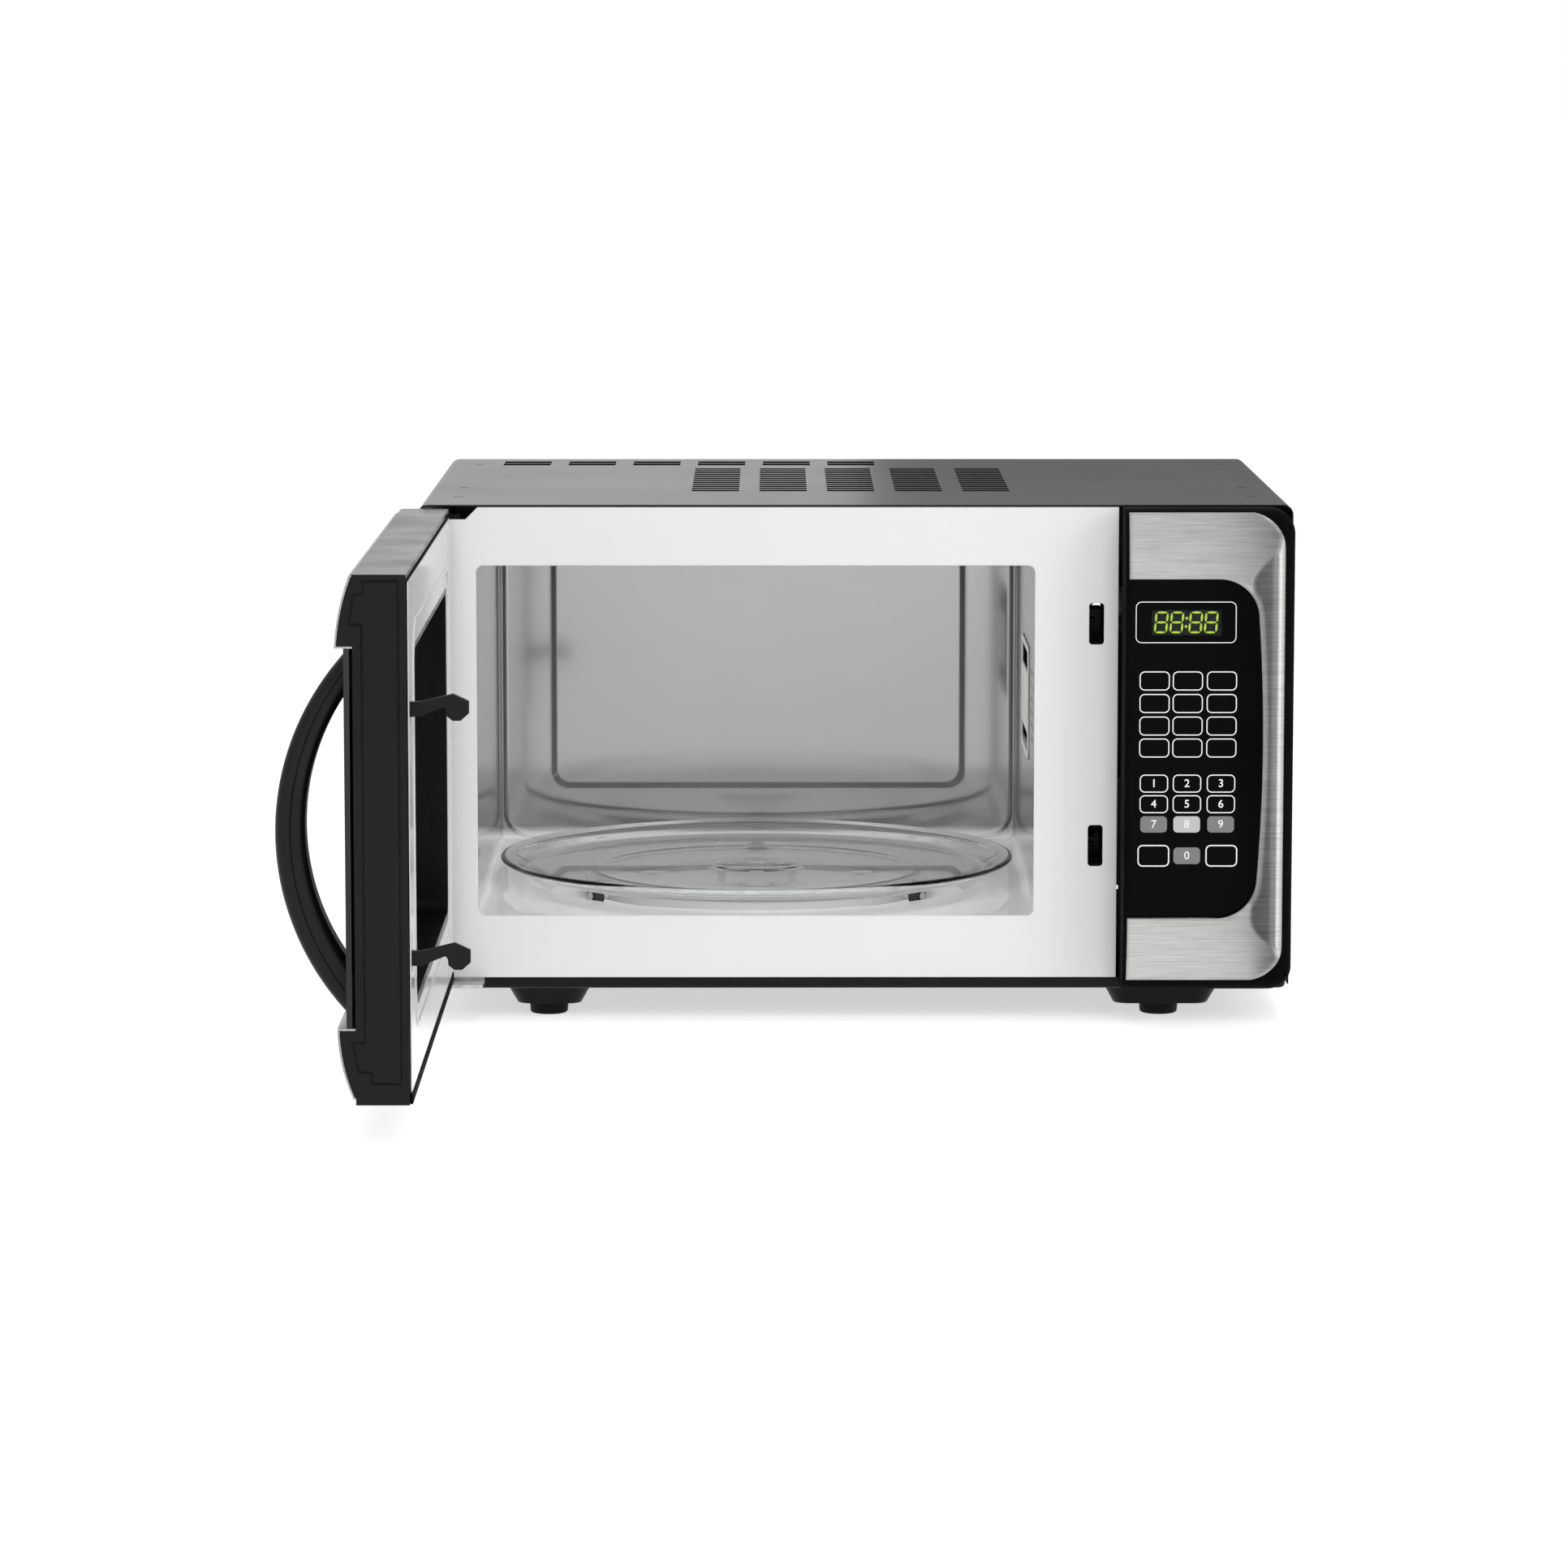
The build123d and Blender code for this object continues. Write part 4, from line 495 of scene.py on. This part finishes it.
def makeTray():
    # half section from the middle of the underside out round the rim and back, radius and height in mm
    section = [(0.0, 66.9), (20.0, 66.9), (95.5, 66.9), (97.0, 66.5), (100.0, 66.5), (101.5, 66.9), (126.0, 66.9),
               (133.0, 67.0), (140.0, 68.3), (145.6, 70.5), (149.6, 72.7), (150.6, 73.7), (153.6, 74.0),
               (156.6, 74.9), (158.1, 76.3), (158.2, 77.6), (157.2, 78.6), (155.2, 78.6), (153.9, 77.9),
               (151.6, 77.6), (150.2, 77.4), (148.8, 76.5), (145.2, 74.3), (142.6, 72.3), (140.6, 71.4),
               (138.0, 71.1), (128.0, 71.1), (84.0, 71.1), (80.0, 71.1), (77.0, 71.1), (74.0, 71.1), (71.0, 71.1),
               (68.0, 71.1), (60.0, 71.1), (28.4, 71.1), (27.0, 71.2), (25.8, 71.8), (24.0, 71.9), (0.0, 71.9)]
    bm = bmesh.new()
    chain = [bm.verts.new((radius, 0.0, height)) for radius, height in section]
    edges = [bm.edges.new((a, b)) for a, b in zip(chain, chain[1:])]
    bmesh.ops.spin(bm, geom=chain + edges, cent=(0, 0, 0), axis=(0, 0, 1), angle=2 * math.pi,
                   steps=trayLook["steps"], use_merge=True)
    bmesh.ops.remove_doubles(bm, verts=bm.verts, dist=0.01)
    for turn in (30, 150, 270):  # drive lugs under the middle
        lug = bmesh.ops.create_cube(bm, size=1.0)["verts"]
        bmesh.ops.scale(bm, verts=lug, vec=trayLook["lugSize"])
        bmesh.ops.translate(bm, verts=lug, vec=trayLook["lugPlace"])
        corners = list({edge for vert in lug for edge in vert.link_edges})
        made = bmesh.ops.bevel(bm, geom=corners, offset=trayLook["lugRound"], offset_type="OFFSET", affect="EDGES",
                               segments=3, profile=0.5, material=-1)
        body = list(set(made["verts"]) | {vert for vert in lug if vert.is_valid})
        bmesh.ops.rotate(bm, verts=body, cent=(0, 0, 0), matrix=Matrix.Rotation(math.radians(turn), 3, "Z"))
    for turn in (90, 210, 330):  # pressed bumps in the flat of the glass
        middle = Vector((math.cos(math.radians(turn)), math.sin(math.radians(turn)), 0.0)) * trayLook["bumpCircle"]
        for vert in bm.verts:
            away = (vert.co.xy - middle.xy).length
            if away < trayLook["bumpWide"] and vert.co.z > trayLook["flat"]:
                swell = 1.0 + math.cos(math.pi * away / trayLook["bumpWide"])
                vert.co.z += trayLook["bumpRise"] * swell
    bmesh.ops.translate(bm, verts=bm.verts, vec=(trayLook["centre"][0], trayLook["centre"][1], 0.0))
    atDrawing(bm)
    tray = finishPiece(bm, "glassTray", trayGlass, "tray", ["glass_tray"], sharp=60)
    smooth = tray.modifiers.new("smooth", "SUBSURF")
    smooth.levels = 1
    smooth.render_levels = 1


makeTray()
print("glass tray spun")


# roller wheels

wheelLook = {"circle": 113.0, "height": 60.2, "ribs": 22, "tread": 6.0, "groove": 0.94}


def makeWheel(name, turn):
    # half section round the axle, distance along it and radius in mm
    section = [(-2.0, 1.9), (-2.9, 2.0), (-3.0, 2.9), (-2.2, 3.2), (-2.2, 4.6), (-3.0, 4.9), (-3.0, 5.7), (-2.5, 6.3),
               (2.5, 6.3), (3.0, 5.7), (3.0, 4.9), (2.2, 4.6), (2.2, 3.2), (3.0, 2.9), (2.9, 2.0), (2.0, 1.9)]
    bm = bmesh.new()
    chain = [bm.verts.new((along, 0.0, radius)) for along, radius in section]
    edges = [bm.edges.new((a, b)) for a, b in zip(chain, chain[1:] + chain[:1])]
    bmesh.ops.spin(bm, geom=chain + edges, cent=(0, 0, 0), axis=(1, 0, 0), angle=2 * math.pi,
                   steps=wheelLook["ribs"] * 4, use_merge=True)
    grooves = []
    for vert in bm.verts:
        place = math.atan2(vert.co.y, vert.co.z) / (2 * math.pi) * wheelLook["ribs"] * 4
        if math.hypot(vert.co.y, vert.co.z) > wheelLook["tread"] and round(place) % 4 < 2:
            grooves.append(vert)
    bmesh.ops.scale(bm, verts=grooves, vec=(1.0, wheelLook["groove"], wheelLook["groove"]))
    bmesh.ops.translate(bm, verts=bm.verts, vec=(wheelLook["circle"], 0.0, wheelLook["height"]))
    bmesh.ops.rotate(bm, verts=bm.verts, cent=(0, 0, 0), matrix=Matrix.Rotation(math.radians(turn), 3, "Z"))
    bmesh.ops.translate(bm, verts=bm.verts, vec=(trayLook["centre"][0], trayLook["centre"][1], 0.0))
    atDrawing(bm)
    finishPiece(bm, "wheel" + name.title(), wheelAcetal, "wheel_" + name, ["roller_" + name])


for wheelName, wheelTurn in (("rear", 90), ("left", 210), ("right", 330)):
    makeWheel(wheelName, wheelTurn)
print("roller wheels spun")


# keypad print

keypadLook = {"face": -34.6, "rise": 0.25, "ink": 0.05, "line": 0.62, "corner": 3.0, "patchCorner": 2.4,
              "columns": (173.7, 193.0, 212.8), "functionRows": (208.2, 195.0, 181.8, 168.9),
              "numberRows": (148.0, 135.9, 124.0), "controlRow": 105.5, "controlColumns": (173.7, 193.2, 213.4),
              "functionKey": (17.6, 11.2), "numberKey": (16.6, 10.6), "numberPatch": (15.6, 9.6),
              "controlKey": (18.6, 12.8), "controlLine": 0.744, "zeroPatch": (15.6, 9.8), "sign": 6.6}
clockFrame = {"x": 191.7, "z": 242.4, "wide": 58.6, "high": 24.2, "corner": 3.4, "line": 0.5}


def roundedPlate(bm, x, z, wide, high, corner, y):  # one rounded face looking out of the front
    made = bmesh.ops.create_grid(bm, x_segments=1, y_segments=1, size=0.5)["verts"]
    bmesh.ops.scale(bm, verts=made, vec=(wide, high, 1.0))
    bmesh.ops.rotate(bm, verts=made, cent=(0, 0, 0), matrix=Matrix.Rotation(math.radians(90), 3, "X"))
    bmesh.ops.translate(bm, verts=made, vec=(x, y, z))
    done = bmesh.ops.bevel(bm, geom=made, offset=corner, offset_type="OFFSET", affect="VERTICES", segments=6,
                           profile=0.5, material=-1)
    verts = set(done["verts"]) | {v for v in made if v.is_valid}
    return next(f for f in bm.faces if all(v in verts for v in f.verts))


def printedRing(bm, x, z, wide, high, corner, line, y, thick):
    face = roundedPlate(bm, x, z, wide, high, corner, y)
    bmesh.ops.inset_region(bm, faces=[face], thickness=line, use_boundary=True, use_even_offset=True)
    ring = [f for e in face.edges for f in e.link_faces if f is not face]
    bmesh.ops.delete(bm, geom=[face], context="FACES")
    made = bmesh.ops.extrude_face_region(bm, geom=ring)["geom"]
    raised = [v for v in made if isinstance(v, bmesh.types.BMVert)]
    bmesh.ops.translate(bm, verts=raised, vec=(0.0, -thick, 0.0))


def printedPatch(bm, x, z, wide, high, corner, y, thick):
    face = roundedPlate(bm, x, z, wide, high, corner, y)
    made = bmesh.ops.extrude_face_region(bm, geom=[face])["geom"]
    raised = [v for v in made if isinstance(v, bmesh.types.BMVert)]
    bmesh.ops.translate(bm, verts=raised, vec=(0.0, -thick, 0.0))


def printedNumber(bm, sign, x, z, size, y, thick):
    curve = bpy.data.curves.new("number", "FONT")
    curve.body = sign
    curve.size = size
    curve.align_x = "CENTER"
    curve.align_y = "CENTER"
    curve.extrude = thick / 2
    curve.offset = 0.06
    shape = bpy.data.objects.new("number", curve)
    scene.collection.objects.link(shape)
    bpy.context.view_layer.update()
    mesh = bpy.data.meshes.new_from_object(shape.evaluated_get(bpy.context.evaluated_depsgraph_get()))
    bpy.data.objects.remove(shape)
    mesh.transform(Matrix.Translation((x, y - thick / 2, z)) @ Matrix.Rotation(math.radians(90), 4, "X"))
    bm.from_mesh(mesh)
    bpy.data.meshes.remove(mesh)


def makeKeypadPrint():
    look = keypadLook
    ink = look["ink"]
    top = look["face"] - look["rise"]
    lines = bmesh.new()
    greys = bmesh.new()
    pales = bmesh.new()
    signs = bmesh.new()
    for z in look["functionRows"]:
        for x in look["columns"]:
            printedRing(lines, x, z, *look["functionKey"], look["corner"], look["line"], top, ink)
    for row, z in enumerate(look["numberRows"]):
        for column, x in enumerate(look["columns"]):
            if row < 2:
                printedRing(lines, x, z, *look["numberKey"], look["corner"], look["line"], top, ink)
            else:
                fills = pales if column == 1 else greys
                printedPatch(fills, x, z, *look["numberPatch"], look["patchCorner"], top, ink)
            printedNumber(signs, str(row * 3 + column + 1), x, z, look["sign"], top - ink, ink)
    left, middle, right = look["controlColumns"]
    low = look["controlRow"]
    for x in (left, right):
        printedRing(lines, x, low, *look["controlKey"], look["corner"], look["controlLine"], top, ink)
    printedPatch(greys, middle, low, *look["zeroPatch"], look["patchCorner"], top, ink)
    printedNumber(signs, "0", middle, low, look["sign"], top - ink, ink)
    printedRing(lines, *clockFrame.values(), look["face"], ink)
    for bm, name, colour in ((lines, "keyOutlines", whiteInk), (greys, "greyKeyFills", greyInk),
                             (pales, "paleKeyFill", paleInk), (signs, "keyNumbers", whiteInk)):
        atDrawing(bm)
        finishPiece(bm, name, colour, "cabinet", sharp=30)


makeKeypadPrint()
print("keypad printed")


# clock digits

digitLook = {"middle": (192.0, 242.2), "face": -32.4, "height": 11.6, "wide": 6.6, "stroke": 1.35, "thick": 0.12,
             "lean": 5.0, "gap": 0.5, "places": (-14.6, -5.6, 5.4, 14.4), "dots": (-2.4, 2.4), "dot": 0.8}


def makeDigits():
    look = digitLook
    bm = bmesh.new()
    half = look["height"] / 2
    side = look["wide"] / 2
    bars = [(0.0, half, 0), (0.0, 0.0, 0), (0.0, -half, 0), (-side, half / 2, 90), (side, half / 2, 90),
            (-side, -half / 2, 90), (side, -half / 2, 90)]
    for place in look["places"]:
        for x, z, turn in bars:
            length = (half if turn else look["wide"]) - look["gap"]
            bar = bmesh.ops.create_circle(bm, cap_ends=True, segments=6, radius=0.5)["verts"]
            bmesh.ops.scale(bm, verts=bar, vec=(length, look["stroke"], 1.0))
            bmesh.ops.rotate(bm, verts=bar, cent=(0, 0, 0), matrix=Matrix.Rotation(math.radians(turn), 3, "Z"))
            bmesh.ops.translate(bm, verts=bar, vec=(place + x, z, 0.0))
    for z in look["dots"]:
        dot = bmesh.ops.create_circle(bm, cap_ends=True, segments=12, radius=look["dot"])["verts"]
        bmesh.ops.translate(bm, verts=dot, vec=(0.0, z, 0.0))
    lean = Matrix.Identity(4)
    lean[0][1] = math.tan(math.radians(look["lean"]))
    bmesh.ops.transform(bm, matrix=lean, verts=bm.verts)
    made = bmesh.ops.extrude_face_region(bm, geom=bm.faces[:])["geom"]
    raised = [v for v in made if isinstance(v, bmesh.types.BMVert)]
    bmesh.ops.translate(bm, verts=raised, vec=(0.0, 0.0, look["thick"]))
    bmesh.ops.rotate(bm, verts=bm.verts, cent=(0, 0, 0), matrix=Matrix.Rotation(math.radians(90), 3, "X"))
    bmesh.ops.translate(bm, verts=bm.verts, vec=(look["middle"][0], look["face"], look["middle"][1]))
    atDrawing(bm)
    finishPiece(bm, "clockDigits", segmentGlow, "cabinet", sharp=30)


makeDigits()
print("clock digits made")
